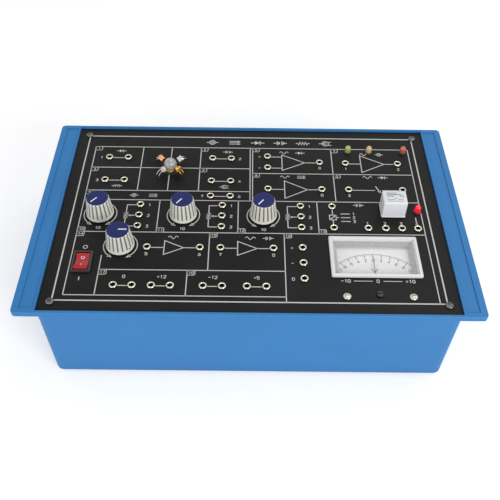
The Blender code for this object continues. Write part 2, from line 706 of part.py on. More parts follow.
def build_case():
    """The moulded tub with its side flanges, panel ledge, posts and inlet cut-out."""
    foot_x, foot_y = TUB_HALF_X - DRAFT, TUB_HALF_Y - DRAFT
    lean = TUB_FOOT_ROUND * (1 - cos(pi / 4))
    rim_x, rim_y = CASE_WIDTH / 2, CASE_DEPTH / 2
    ledge_x, ledge_y = OPENING_HALF_X - LEDGE_WIDTH, OPENING_HALF_Y - LEDGE_WIDTH
    inner_corner = TUB_CORNER - WALL
    ledge_under = LEDGE_TOP - LEDGE_THICKNESS
    rings = [
        rect_ring(foot_x - TUB_FOOT_ROUND, foot_y - TUB_FOOT_ROUND, TUB_CORNER - TUB_FOOT_ROUND, FOOT_HEIGHT),
        rect_ring(foot_x - lean, foot_y - lean, TUB_CORNER - lean, FOOT_HEIGHT + lean),
        rect_ring(foot_x, foot_y, TUB_CORNER, FOOT_HEIGHT + TUB_FOOT_ROUND),
        rect_ring(TUB_HALF_X, TUB_HALF_Y, TUB_CORNER, RIM_UNDER),
        rect_ring(rim_x - RIM_EDGE, rim_y - RIM_EDGE, RIM_CORNER, RIM_UNDER),
        rect_ring(rim_x, rim_y, RIM_CORNER, RIM_UNDER + RIM_EDGE),
        rect_ring(rim_x, rim_y, RIM_CORNER, RIM_TOP - RIM_EDGE),
        rect_ring(rim_x - RIM_EDGE, rim_y - RIM_EDGE, RIM_CORNER, RIM_TOP),
        rect_ring(OPENING_HALF_X, OPENING_HALF_Y, PANEL_CORNER, RIM_TOP),
        rect_ring(OPENING_HALF_X, OPENING_HALF_Y, PANEL_CORNER, LEDGE_TOP),
        rect_ring(ledge_x, ledge_y, LEDGE_CORNER, LEDGE_TOP),
        rect_ring(ledge_x, ledge_y, LEDGE_CORNER, ledge_under),
        rect_ring(TUB_HALF_X - WALL, TUB_HALF_Y - WALL, inner_corner, ledge_under),
        rect_ring(foot_x - WALL, foot_y - WALL, inner_corner, FLOOR_TOP),
    ]
    bm = bmesh.new()
    thread_rings(bm, rings)
    case = make_piece("case_tub", bm, blue_moulding())

    posts = bmesh.new()
    for place in post_places():
        add_turned(posts, [(0, FLOOR_TOP - OVERRUN), (POST_RADIUS, FLOOR_TOP - OVERRUN),
                           (POST_RADIUS, FLOOR_TOP + POST_HEIGHT), (0, FLOOR_TOP + POST_HEIGHT)],
                   SOCKET_SIDES, place)
    join(case, posts)

    trays = bmesh.new()
    tray_near = OPENING_HALF_X + TRAY_INNER_RIM
    tray_far = CASE_WIDTH / 2 - TRAY_OUTER_RIM
    tray_half = CASE_DEPTH / 2 - TRAY_END_RIM
    for side in (-1, 1):
        left, right = sorted((side * tray_near, side * tray_far))
        add_block(trays, (left, -tray_half, RIM_TOP - TRAY_DEPTH), (right, tray_half, RIM_TOP + OVERRUN))
    holes = bmesh.new()
    for place in screw_places():
        hole = SCREW_SHANK_RADIUS + FIT
        add_turned(holes, [(0, ledge_under - OVERRUN), (hole, ledge_under - OVERRUN),
                           (hole, LEDGE_TOP + OVERRUN), (0, LEDGE_TOP + OVERRUN)], SCREW_SIDES, place)
    mouth = bmesh.new()
    half_x = INLET_MOUTH_WIDTH / 2 + INLET_WALL + FIT
    half_z = INLET_MOUTH_TALL / 2 + INLET_WALL + FIT
    rear = TUB_HALF_Y
    add_block(mouth, (INLET_X - half_x, rear - DRAFT - WALL - OVERRUN, INLET_HEIGHT - half_z),
              (INLET_X + half_x, rear + OVERRUN, INLET_HEIGHT + half_z))
    return cut(case, trays, holes, mouth)


def build_feet():
    """Four rubber feet under the floor, each with a screw recess."""
    top = FOOT_HEIGHT - FIT
    half_x = TUB_HALF_X - DRAFT - FOOT_INSET
    half_y = TUB_HALF_Y - DRAFT - FOOT_INSET
    for number, (x, y) in enumerate(corner_places(half_x, half_y), 1):
        bm = bmesh.new()
        profile = [(0, FOOT_RECESS_DEPTH), (FOOT_RECESS_RADIUS, FOOT_RECESS_DEPTH), (FOOT_RECESS_RADIUS, 0),
                   (FOOT_RADIUS - FOOT_TAPER, 0), (FOOT_RADIUS, top), (0, top)]
        add_turned(bm, profile, BUSH_SIDES, (x, y))
        make_piece("foot_" + str(number), bm, rubber_black(), (x, y, 0))


def dome_screw(name, place, length):
    """A slotted dome-headed screw that stands on the panel face."""
    x, y = place
    seat = PANEL_TOP + FIT
    crown = seat + SCREW_HEAD_HEIGHT
    tip = seat - length
    point = tip + SCREW_SHANK_RADIUS / 2
    rim = seat + SCREW_HEAD_HEIGHT * SCREW_RIM_SHARE
    shoulder = seat + SCREW_HEAD_HEIGHT * SCREW_SHOULDER_SHARE
    shoulder_radius = SCREW_HEAD_RADIUS * SCREW_SHOULDER_RADIUS_SHARE
    bm = bmesh.new()
    profile = [(0, tip), (SCREW_SHANK_RADIUS / 2, tip), (SCREW_SHANK_RADIUS, point),
               (SCREW_SHANK_RADIUS, seat), (SCREW_HEAD_RADIUS, seat), (SCREW_HEAD_RADIUS, rim),
               (shoulder_radius, shoulder), (0, crown)]
    add_turned(bm, profile, SCREW_SIDES, place)
    screw = make_piece(name, bm, bright_steel(), (x, y, seat))
    slot = bmesh.new()
    add_block(slot, (x - SCREW_HEAD_RADIUS - OVERRUN, y - SCREW_SLOT_WIDTH / 2, crown - SCREW_SLOT_DEPTH),
              (x + SCREW_HEAD_RADIUS + OVERRUN, y + SCREW_SLOT_WIDTH / 2, crown + OVERRUN))
    return cut(screw, slot)


def build_panel():
    """The flat panel plate with every hole that a piece passes through."""
    bm = bmesh.new()
    half_x, half_y = OPENING_HALF_X - FIT, OPENING_HALF_Y - FIT
    thread_rings(bm, [rect_ring(half_x, half_y, PANEL_CORNER, PANEL_UNDER),
                      rect_ring(half_x, half_y, PANEL_CORNER, PANEL_TOP)])
    panel = make_piece("front_panel", bm, black_print())
    low, high = PANEL_UNDER - OVERRUN, PANEL_TOP + OVERRUN

    def punch(bm_holes, place, radius, sides):
        add_turned(bm_holes, [(0, low), (radius, low), (radius, high), (0, high)], sides, place)

    def punch_block(bm_holes, place, half_width, half_length):
        add_block(bm_holes, (place[0] - half_width, place[1] - half_length, low),
                  (place[0] + half_width, place[1] + half_length, high))

    round_holes = bmesh.new()
    for places in socket_groups().values():
        for place in places:
            punch(round_holes, place, SOCKET_STEM_RADIUS + FIT, SOCKET_SIDES)
    for place in screw_places() + meter_screw_places():
        punch(round_holes, place, SCREW_SHANK_RADIUS + FIT, SCREW_SIDES)
    for place in zip(KNOB_X, KNOB_Y):
        punch(round_holes, place, BUSH_RADIUS + FIT, BUSH_SIDES)
    punch(round_holes, (LAMP_X, LAMP_Y), HOLDER_RADIUS + FIT, BODY_SIDES)
    for place in [(RELAY_LED_X, RELAY_LED_Y)] + [(x, INDICATOR_Y) for x in INDICATOR_X]:
        punch(round_holes, place, LED_RADIUS + FIT, LED_SIDES)
    punch(round_holes, (METER_X, METER_PIVOT_Y), ZERO_STEM_RADIUS + FIT, SCREW_SIDES)
    for place in lead_holes():
        punch(round_holes, place, LEAD_RADIUS + FIT, LEAD_SIDES)
    square_holes = bmesh.new()
    for place in pin_places():
        punch_block(square_holes, place, RELAY_PIN / 2 + FIT, RELAY_PIN / 2 + FIT)
    punch_block(square_holes, (ROCKER_X, ROCKER_Y), SWITCH_WIDTH / 2 - SWITCH_WALL + FIT,
                SWITCH_LENGTH / 2 - SWITCH_WALL + FIT)
    punch_block(square_holes, (METER_X, BEZEL_CENTRE_Y), BEZEL_WIDTH / 2 - BEZEL_FLANGE + FIT,
                BEZEL_LENGTH / 2 - BEZEL_FLANGE + FIT)
    return cut(panel, round_holes, square_holes)


def build_sockets():
    """Each group of patch sockets on the strip that carries them behind the panel."""
    seat = PANEL_TOP + FIT
    crown = seat + SOCKET_COLLAR_HEIGHT
    end = STRIP_TOP - STRIP_THICKNESS / 2
    profile = [(0, end), (SOCKET_STEM_RADIUS, end), (SOCKET_STEM_RADIUS, seat), (SOCKET_COLLAR_RADIUS, seat),
               (SOCKET_COLLAR_RADIUS, crown), (SOCKET_HOLE_RADIUS, crown),
               (SOCKET_HOLE_RADIUS, crown - SOCKET_HOLE_DEPTH), (0, crown - SOCKET_HOLE_DEPTH)]
    outlines = {"sockets_pots": pot_strip_outline(), "sockets_front_blocks": front_strip_outline()}
    for name, places in socket_groups().items():
        strip = bmesh.new()
        add_prism(strip, outlines.get(name) or box_outline(places), STRIP_UNDER, STRIP_TOP)
        group = make_piece(name, strip, bright_steel())
        stems = bmesh.new()
        for place in places:
            add_turned(stems, profile, SOCKET_SIDES, place)
        join(group, stems)


def fluted_ring(radius, depth, height, place):
    """Points round a knob skirt, in and out once for each flute."""
    points = []
    for i in range(2 * KNOB_FLUTES):
        turn = TURN * i / (2 * KNOB_FLUTES)
        reach = radius - (depth if i % 2 else 0)
        points.append((place[0] + reach * cos(turn), place[1] + reach * sin(turn), height))
    return points


def build_knobs():
    """Set knobs with their caps, shafts and potentiometers."""
    base = PANEL_TOP + KNOB_CLEARANCE
    top = base + KNOB_HEIGHT
    bore_top = base + KNOB_BORE_DEPTH
    for name, x, y, pointer in zip(KNOB_NAMES, KNOB_X, KNOB_Y, KNOB_POINTER_DEG):
        place = (x, y)
        aim = Matrix.Rotation(radians(-pointer), 4, "Z")
        bm = bmesh.new()
        thread_rings(bm, [
            fluted_ring(KNOB_BASE_RADIUS, 0, base, place),
            fluted_ring(KNOB_BASE_RADIUS, 0, base + KNOB_BASE_BAND, place),
            fluted_ring(KNOB_BASE_RADIUS - KNOB_FLUTE_DEPTH, KNOB_FLUTE_DEPTH, base + KNOB_BASE_BAND, place),
            fluted_ring(KNOB_TOP_RADIUS, KNOB_FLUTE_DEPTH, top - KNOB_TOP_EDGE, place),
            fluted_ring(KNOB_TOP_RADIUS - KNOB_TOP_EDGE, 0, top, place)])
        knob = make_piece("knob_" + name, bm, pale_knob(), (x, y, base), aim)
        hollow = bmesh.new()
        bore = SHAFT_RADIUS + FIT
        add_turned(hollow, [(0, base - OVERRUN), (KNOB_HOLLOW_RADIUS, base - OVERRUN),
                            (KNOB_HOLLOW_RADIUS, base + KNOB_HOLLOW_DEPTH), (bore, base + KNOB_HOLLOW_DEPTH),
                            (bore, bore_top), (0, bore_top)], BUSH_SIDES, place)
        seat = bmesh.new()
        add_turned(seat, [(0, top - CAP_SEAT_DEPTH), (CAP_SEAT_RADIUS, top - CAP_SEAT_DEPTH),
                          (CAP_SEAT_RADIUS, top + OVERRUN), (0, top + OVERRUN)], CAP_SIDES, place)
        cut(knob, hollow, seat)

        cap_base = top - CAP_SEAT_DEPTH + FIT
        cap_edge = top + CAP_RISE - CAP_CROWN
        cap_radius = CAP_SEAT_RADIUS - FIT
        bm = bmesh.new()
        add_turned(bm, [(0, cap_base), (cap_radius, cap_base), (cap_radius, cap_edge),
                        (cap_radius - CAP_CROWN, top + CAP_RISE), (0, top + CAP_RISE)], CAP_SIDES, place)
        cap = make_piece("knob_cap_" + name, bm, navy_cap(), (x, y, cap_base), aim)
        rib = bmesh.new()
        add_block(rib, (x - POINTER_WIDTH / 2, y, cap_edge),
                  (x + POINTER_WIDTH / 2, y + cap_radius - CAP_CROWN, top + CAP_RISE + POINTER_RISE))
        rib.transform(Matrix.Translation((x, y, 0)) @ aim @ Matrix.Translation((-x, -y, 0)))
        join(cap, rib)
        build_potentiometer(name, place, bore_top)


def build_potentiometer(name, place, bore_top):
    """The can and threaded bush of a potentiometer, and the shaft that turns in them."""
    x, y = place
    can_top = PANEL_UNDER - FIT
    can_floor = can_top - POT_BODY_HEIGHT
    bore = SHAFT_RADIUS + FIT
    room_top = can_top - POT_BODY_WALL
    room_floor = can_floor + POT_BODY_WALL
    room = POT_BODY_RADIUS - POT_BODY_WALL
    nut = PANEL_TOP + FIT
    bm = bmesh.new()
    add_turned(bm, [(0, can_floor), (POT_BODY_RADIUS, can_floor), (POT_BODY_RADIUS, can_top),
                    (BUSH_RADIUS, can_top), (BUSH_RADIUS, nut), (POT_NUT_RADIUS, nut),
                    (POT_NUT_RADIUS, nut + POT_NUT_HEIGHT), (BUSH_RADIUS, nut + POT_NUT_HEIGHT),
                    (BUSH_RADIUS, nut + POT_BUSH_RISE), (bore, nut + POT_BUSH_RISE), (bore, room_top),
                    (room, room_top), (room, room_floor), (0, room_floor)], BUSH_SIDES, place)
    make_piece("pot_body_" + name, bm, bright_steel(), (x, y, can_top))
    foot = room_floor + FIT
    disc = room_top - FIT - WIPER_THICKNESS
    bm = bmesh.new()
    add_turned(bm, [(0, foot), (SHAFT_RADIUS, foot), (SHAFT_RADIUS, disc), (WIPER_RADIUS, disc),
                    (WIPER_RADIUS, disc + WIPER_THICKNESS), (SHAFT_RADIUS, disc + WIPER_THICKNESS),
                    (SHAFT_RADIUS, bore_top - FIT), (0, bore_top - FIT)], BUSH_SIDES, place)
    make_piece("pot_shaft_" + name, bm, brass_metal(), (x, y, foot))


def build_lamp():
    """The small globe lamp and the flanged holder it screws into."""
    place = (LAMP_X, LAMP_Y)
    cap_top = PANEL_TOP
    cap_low = cap_top - LAMP_CAP_LENGTH
    tip = cap_low - LAMP_TIP_LENGTH
    centre = PANEL_TOP + GLOBE_CENTRE_RISE
    start = radians(GLOBE_FOOT_DEG)
    turns = [start + (QUARTER - start) * i / GLOBE_STEPS for i in range(GLOBE_STEPS)]
    globe = [(GLOBE_RADIUS * cos(t), centre + GLOBE_RADIUS * sin(t)) for t in turns]
    bm = bmesh.new()
    add_turned(bm, [(0, tip), (LAMP_TIP_RADIUS, tip), (LAMP_TIP_RADIUS, cap_low), (LAMP_CAP_RADIUS, cap_low),
                    (LAMP_CAP_RADIUS, cap_top), (LAMP_NECK_RADIUS, cap_top)] + globe
               + [(0, centre + GLOBE_RADIUS)], BUSH_SIDES, place)
    make_piece("lamp_bulb", bm, clear_glass(), (*place, cap_top))

    bore = LAMP_CAP_RADIUS + FIT
    seat = PANEL_TOP + FIT
    under = tip - FIT - HOLDER_FLOOR
    bm = bmesh.new()
    add_turned(bm, [(0, under), (HOLDER_RADIUS, under), (HOLDER_RADIUS, seat), (HOLDER_FLANGE_RADIUS, seat),
                    (HOLDER_FLANGE_RADIUS, seat + HOLDER_FLANGE_HEIGHT), (bore, seat + HOLDER_FLANGE_HEIGHT),
                    (bore, tip - FIT), (0, tip - FIT)], BODY_SIDES, place)
    make_piece("lamp_holder", bm, brass_metal(), (*place, seat))


def lead_tube(bm, points, radius):
    """A round lead along a few points, square to its first and last stretch."""
    rings = []
    for i, point in enumerate(points):
        before = points[max(i - 1, 0)]
        after = points[min(i + 1, len(points) - 1)]
        along = (after - before).normalized()
        upright = abs(along.z) > cos(radians(LEAD_UPRIGHT_DEG))
        side = Vector((1.0, 0.0, 0.0)) if upright else along.cross(Vector((0.0, 0.0, 1.0))).normalized()
        up = side.cross(along).normalized()
        side = along.cross(up).normalized()
        rings.append([tuple(point + radius * (side * cos(t) + up * sin(t)))
                      for t in (TURN * k / LEAD_SIDES for k in range(LEAD_SIDES))])
    thread_rings(bm, rings)


def build_sensors():
    """Four light sensors on bent leads, each facing the lamp."""
    for name, heading, radius, length in zip(SENSOR_NAMES, SENSOR_BEARING_DEG, SENSOR_RADIUS, SENSOR_LENGTH):
        turn = radians(heading)
        outward = Vector((cos(turn), sin(turn), 0.0))
        across = Vector((-sin(turn), cos(turn), 0.0))
        tilt = radians(SENSOR_TILT_DEG)
        axis = (outward * cos(tilt) + Vector((0.0, 0.0, sin(tilt)))).normalized()
        face = Vector((LAMP_X, LAMP_Y, PANEL_TOP + SENSOR_RISE)) + outward * SENSOR_REACH
        stand = axis.to_track_quat("Z", "Y").to_matrix().to_4x4()
        can = bmesh.new()
        brim = radius + SENSOR_BRIM
        add_turned(can, [(0, 0), (radius, 0), (radius, length - SENSOR_BRIM_THICKNESS),
                         (brim, length - SENSOR_BRIM_THICKNESS), (brim, length), (0, length)], BUSH_SIDES)
        can.transform(Matrix.Translation(face) @ stand)
        sensor = make_piece("sensor_" + name, can, copper_metal(), tuple(face))
        leads = bmesh.new()
        back = face + axis * length
        for side in (-1, 1):
            shift = across * (side * LEAD_PITCH / 2)
            root = back - axis * OVERRUN / 2 + shift
            hole = Vector((LAMP_X, LAMP_Y, PANEL_TOP)) + outward * LEAD_HOLE_REACH + shift
            knee = hole + Vector((0.0, 0.0, LEAD_BEND_RISE))
            bend = (back + shift).lerp(knee, LEAD_BEND_SHARE) + Vector((0.0, 0.0, LEAD_RADIUS))
            foot = hole - Vector((0.0, 0.0, PANEL_THICKNESS + LEAD_TAIL))
            lead_tube(leads, [root, bend, knee, hole + Vector((0.0, 0.0, OVERRUN)), foot], LEAD_RADIUS)
        join(sensor, leads)


def build_relay():
    """The relay: cover, base with yoke and pins, coil and the armature that clicks down."""
    floor = PANEL_TOP + FIT
    place = (RELAY_X, RELAY_Y)
    half_x, half_y = RELAY_WIDTH / 2, RELAY_DEPTH / 2
    top = floor + RELAY_HEIGHT
    room_x, room_y = half_x - RELAY_WALL, half_y - RELAY_WALL
    room_corner = RELAY_CORNER / 2
    bm = bmesh.new()
    thread_rings(bm, [
        rect_ring(room_x, room_y, room_corner, top - RELAY_WALL, place),
        rect_ring(room_x, room_y, room_corner, floor, place),
        rect_ring(half_x, half_y, RELAY_CORNER, floor, place),
        rect_ring(half_x, half_y, RELAY_CORNER, top - RELAY_CORNER, place),
        rect_ring(half_x - RELAY_CORNER, half_y - RELAY_CORNER, RELAY_CORNER / 2, top, place)])
    make_piece("relay_cover", bm, white_plastic(), (*place, floor))

    plate_x, plate_y = room_x - FIT, room_y - FIT
    plate_top = floor + RELAY_PLATE
    coil_low = plate_top + FIT
    coil_top = coil_low + COIL_HEIGHT
    yoke_top = coil_top + ARMATURE_LIFT
    yoke_left = RELAY_X - plate_x
    bm = bmesh.new()
    add_block(bm, (RELAY_X - plate_x, RELAY_Y - plate_y, floor),
              (RELAY_X + plate_x, RELAY_Y + plate_y, plate_top))
    base = make_piece("relay_base", bm, black_plastic(), (*place, floor))
    pins = bmesh.new()
    for x, y in pin_places():
        add_block(pins, (x - RELAY_PIN / 2, y - RELAY_PIN / 2, PANEL_UNDER - RELAY_PIN_LENGTH),
                  (x + RELAY_PIN / 2, y + RELAY_PIN / 2, floor + RELAY_PLATE / 2))
    yoke = bmesh.new()
    add_block(yoke, (yoke_left + FIT, RELAY_Y - YOKE_WIDTH / 2, floor + RELAY_PLATE / 2),
              (yoke_left + FIT + YOKE_THICKNESS, RELAY_Y + YOKE_WIDTH / 2, yoke_top))
    join(base, pins, yoke)

    coil_x = yoke_left + FIT + YOKE_THICKNESS + FIT + COIL_FLANGE_RADIUS
    bm = bmesh.new()
    lower, upper = coil_low + COIL_FLANGE, coil_top - COIL_FLANGE
    add_turned(bm, [(0, coil_low), (COIL_FLANGE_RADIUS, coil_low), (COIL_FLANGE_RADIUS, lower),
                    (COIL_RADIUS, lower), (COIL_RADIUS, upper), (COIL_FLANGE_RADIUS, upper),
                    (COIL_FLANGE_RADIUS, coil_top), (0, coil_top)], BUSH_SIDES, (coil_x, RELAY_Y))
    make_piece("relay_coil", bm, copper_metal(), (coil_x, RELAY_Y, coil_low))

    hinge_x = yoke_left + FIT
    arm_low = yoke_top + FIT
    bm = bmesh.new()
    add_block(bm, (hinge_x, RELAY_Y - YOKE_WIDTH / 2, arm_low),
              (coil_x + COIL_FLANGE_RADIUS, RELAY_Y + YOKE_WIDTH / 2, arm_low + ARMATURE_THICKNESS))
    make_piece("relay_armature", bm, grey_steel(), (hinge_x, RELAY_Y, arm_low))


def add_led(bm, place, foot):
    """One domed indicator, with its brim under the panel."""
    brim_top = PANEL_UNDER - FIT
    shoulder = PANEL_TOP + LED_RISE - LED_RADIUS
    turns = [radians(angle) for angle in LED_DOME_DEG]
    dome = [(LED_RADIUS * cos(t), shoulder + LED_RADIUS * sin(t)) for t in turns]
    add_turned(bm, [(0, foot), (LED_RADIUS + LED_BRIM, foot), (LED_RADIUS + LED_BRIM, brim_top),
                    (LED_RADIUS, brim_top)] + dome + [(0, shoulder + LED_RADIUS)], LED_SIDES, place)


def build_indicators():
    """The relay's red indicator, and the row of three on their own strip."""
    brim_under = PANEL_UNDER - FIT - LED_BRIM_HEIGHT
    bm = bmesh.new()
    add_led(bm, (RELAY_LED_X, RELAY_LED_Y), brim_under)
    make_piece("relay_led", bm, red_plastic(), (RELAY_LED_X, RELAY_LED_Y, brim_under))
    strip = bmesh.new()
    strip_under = brim_under - STRIP_THICKNESS
    add_block(strip, (INDICATOR_X[0] - STRIP_MARGIN, INDICATOR_Y - INDICATOR_STRIP_HALF, strip_under),
              (INDICATOR_X[-1] + STRIP_MARGIN, INDICATOR_Y + INDICATOR_STRIP_HALF, brim_under))
    row = make_piece("indicator_leds", strip, green_board())
    lights = bmesh.new()
    for x in INDICATOR_X:
        add_led(lights, (x, INDICATOR_Y), brim_under - STRIP_THICKNESS / 2)
    join(row, lights)


def build_switch():
    """The mains rocker and the snap-in frame that it tips in."""
    place = (ROCKER_X, ROCKER_Y)
    seat = PANEL_TOP + FIT
    crown = seat + SWITCH_BEZEL_HEIGHT
    half_x, half_y = SWITCH_WIDTH / 2, SWITCH_LENGTH / 2
    body_x, body_y = half_x - SWITCH_WALL, half_y - SWITCH_WALL
    pocket_x = ROCKER_WIDTH / 2 + FIT
    pocket_y = ROCKER_RADIUS + 2 * FIT
    under = PANEL_TOP - SWITCH_BODY_DEPTH
    pocket = PANEL_TOP - SWITCH_POCKET_DEPTH
    edge = SWITCH_BEZEL_EDGE
    small = SWITCH_CORNER / 2
    bm = bmesh.new()
    thread_rings(bm, [
        rect_ring(body_x, body_y, small, under, place),
        rect_ring(body_x, body_y, small, seat, place),
        rect_ring(half_x, half_y, SWITCH_CORNER, seat, place),
        rect_ring(half_x, half_y, SWITCH_CORNER, crown - edge, place),
        rect_ring(half_x - edge, half_y - edge, SWITCH_CORNER, crown, place),
        rect_ring(pocket_x, pocket_y, small, crown, place),
        rect_ring(pocket_x, pocket_y, small, pocket, place)])
    make_piece("switch_frame", bm, black_plastic(), (*place, seat))

    pivot = PANEL_TOP - ROCKER_PIVOT_DROP
    rise, drop = radians(ROCKER_RISE_DEG), radians(ROCKER_DROP_DEG)
    arc = [rise + (drop - rise) * i / ROCKER_STEPS for i in range(ROCKER_STEPS + 1)]
    half = [(ROCKER_RADIUS * cos(a), ROCKER_RADIUS * sin(a)) for a in arc]
    outline = [(0, ROCKER_CREST)] + half + [(ROCKER_RADIUS / 2, -ROCKER_KEEL)]
    outline += [(-ROCKER_RADIUS / 2, -ROCKER_KEEL)] + [(-y, z) for y, z in reversed(half)]
    bm = bmesh.new()
    left, right = ROCKER_X - ROCKER_WIDTH / 2, ROCKER_X + ROCKER_WIDTH / 2
    thread_rings(bm, [[(x, ROCKER_Y + y, pivot + z) for y, z in outline] for x in (left, right)])
    lean = Matrix.Rotation(radians(-ROCKER_TILT_DEG), 4, "X")
    make_piece("power_rocker", bm, red_plastic(), (ROCKER_X, ROCKER_Y, pivot), lean)


def meter_screw_places():
    return [(METER_X + side * METER_SCREW_SPREAD / 2, METER_SCREW_Y) for side in (-1, 1)]


def build_meter():
    """The moving-coil meter: case, bezel, window, dial, magnet, needle and zero adjuster."""
    case_top = PANEL_UNDER - FIT
    case_low = case_top - METER_CASE_DEPTH
    middle = (METER_X, (METER_CASE_FRONT_Y + METER_CASE_REAR_Y) / 2)
    half_x = METER_CASE_WIDTH / 2
    half_y = (METER_CASE_REAR_Y - METER_CASE_FRONT_Y) / 2
    room_x, room_y = half_x - METER_CASE_WALL, half_y - METER_CASE_WALL
    step_x, step_y = room_x - METER_CASE_STEP, room_y - METER_CASE_STEP
    corner = METER_CASE_CORNER
    room_corner = corner - METER_CASE_WALL
    step_top = DIAL_TOP - DIAL_THICKNESS - FIT
    bm = bmesh.new()
    thread_rings(bm, [
        rect_ring(half_x, half_y, corner, case_low, middle),
        rect_ring(half_x, half_y, corner, case_top, middle),
        rect_ring(room_x, room_y, room_corner, case_top, middle),
        rect_ring(room_x, room_y, room_corner, step_top, middle),
        rect_ring(step_x, step_y, room_corner, step_top, middle),
        rect_ring(step_x, step_y, room_corner, METER_FLOOR, middle)])
    case = make_piece("meter_case", bm, black_plastic(), (*middle, case_top))
    posts = bmesh.new()
    drill = bmesh.new()
    hole = SCREW_SHANK_RADIUS + FIT
    root = METER_FLOOR - METER_CASE_WALL / 2
    for place in meter_screw_places():
        add_turned(posts, [(0, root), (METER_SCREW_POST, root),
                           (METER_SCREW_POST, case_top), (0, case_top)], SCREW_SIDES, place)
        add_turned(drill, [(0, case_top - SCREW_LENGTH), (hole, case_top - SCREW_LENGTH),
                           (hole, case_top + OVERRUN), (0, case_top + OVERRUN)], SCREW_SIDES, place)
    join(case, posts)
    cut(case, drill)

    build_meter_front(middle, room_x, room_y, room_corner)
    build_movement()
    for number, place in enumerate(meter_screw_places(), 1):
        dome_screw("meter_screw_" + str(number), place, SCREW_LENGTH)


def build_meter_front(middle, room_x, room_y, room_corner):
    """Bezel, window and dial plate of the meter."""
    place = (METER_X, BEZEL_CENTRE_Y)
    seat = PANEL_TOP + FIT
    crown = seat + BEZEL_HEIGHT
    half_x, half_y = BEZEL_WIDTH / 2, BEZEL_LENGTH / 2
    neck_x, neck_y = half_x - BEZEL_FLANGE, half_y - BEZEL_FLANGE
    view_x, view_y = neck_x - BEZEL_NECK_WALL, neck_y - BEZEL_NECK_WALL
    rabbet_x, rabbet_y = view_x + WINDOW_RABBET, view_y + WINDOW_RABBET
    rabbet = crown - WINDOW_THICKNESS - 2 * FIT
    neck_low = PANEL_TOP - BEZEL_NECK_DROP
    corner = BEZEL_CORNER
    small = BEZEL_INNER_CORNER
    bm = bmesh.new()
    thread_rings(bm, [
        rect_ring(neck_x, neck_y, small, neck_low, place),
        rect_ring(neck_x, neck_y, small, seat, place),
        rect_ring(half_x, half_y, corner, seat, place),
        rect_ring(half_x, half_y, corner, crown - RIM_EDGE, place),
        rect_ring(half_x - RIM_EDGE, half_y - RIM_EDGE, corner, crown, place),
        rect_ring(rabbet_x, rabbet_y, small, crown, place),
        rect_ring(rabbet_x, rabbet_y, small, rabbet, place),
        rect_ring(view_x, view_y, small, rabbet, place),
        rect_ring(view_x, view_y, small, neck_low, place)], closed=True)
    make_piece("meter_bezel", bm, white_plastic(), (*place, seat))

    bm = bmesh.new()
    pane = rabbet + FIT
    thread_rings(bm, [rect_ring(rabbet_x - FIT, rabbet_y - FIT, small, z, place)
                      for z in (pane, pane + WINDOW_THICKNESS)])
    make_piece("meter_window", bm, clear_glass(), (*place, pane))

    rear = middle[1] + room_y - FIT
    centre = (METER_X, (DIAL_FRONT_Y + rear) / 2)
    dial_y = (rear - DIAL_FRONT_Y) / 2
    bm = bmesh.new()
    thread_rings(bm, [rect_ring(room_x - FIT, dial_y, room_corner, DIAL_TOP - DIAL_THICKNESS, centre),
                      rect_ring(room_x - FIT, dial_y, room_corner, DIAL_TOP, centre)])
    make_piece("meter_dial", bm, white_plastic(), (*centre, DIAL_TOP))


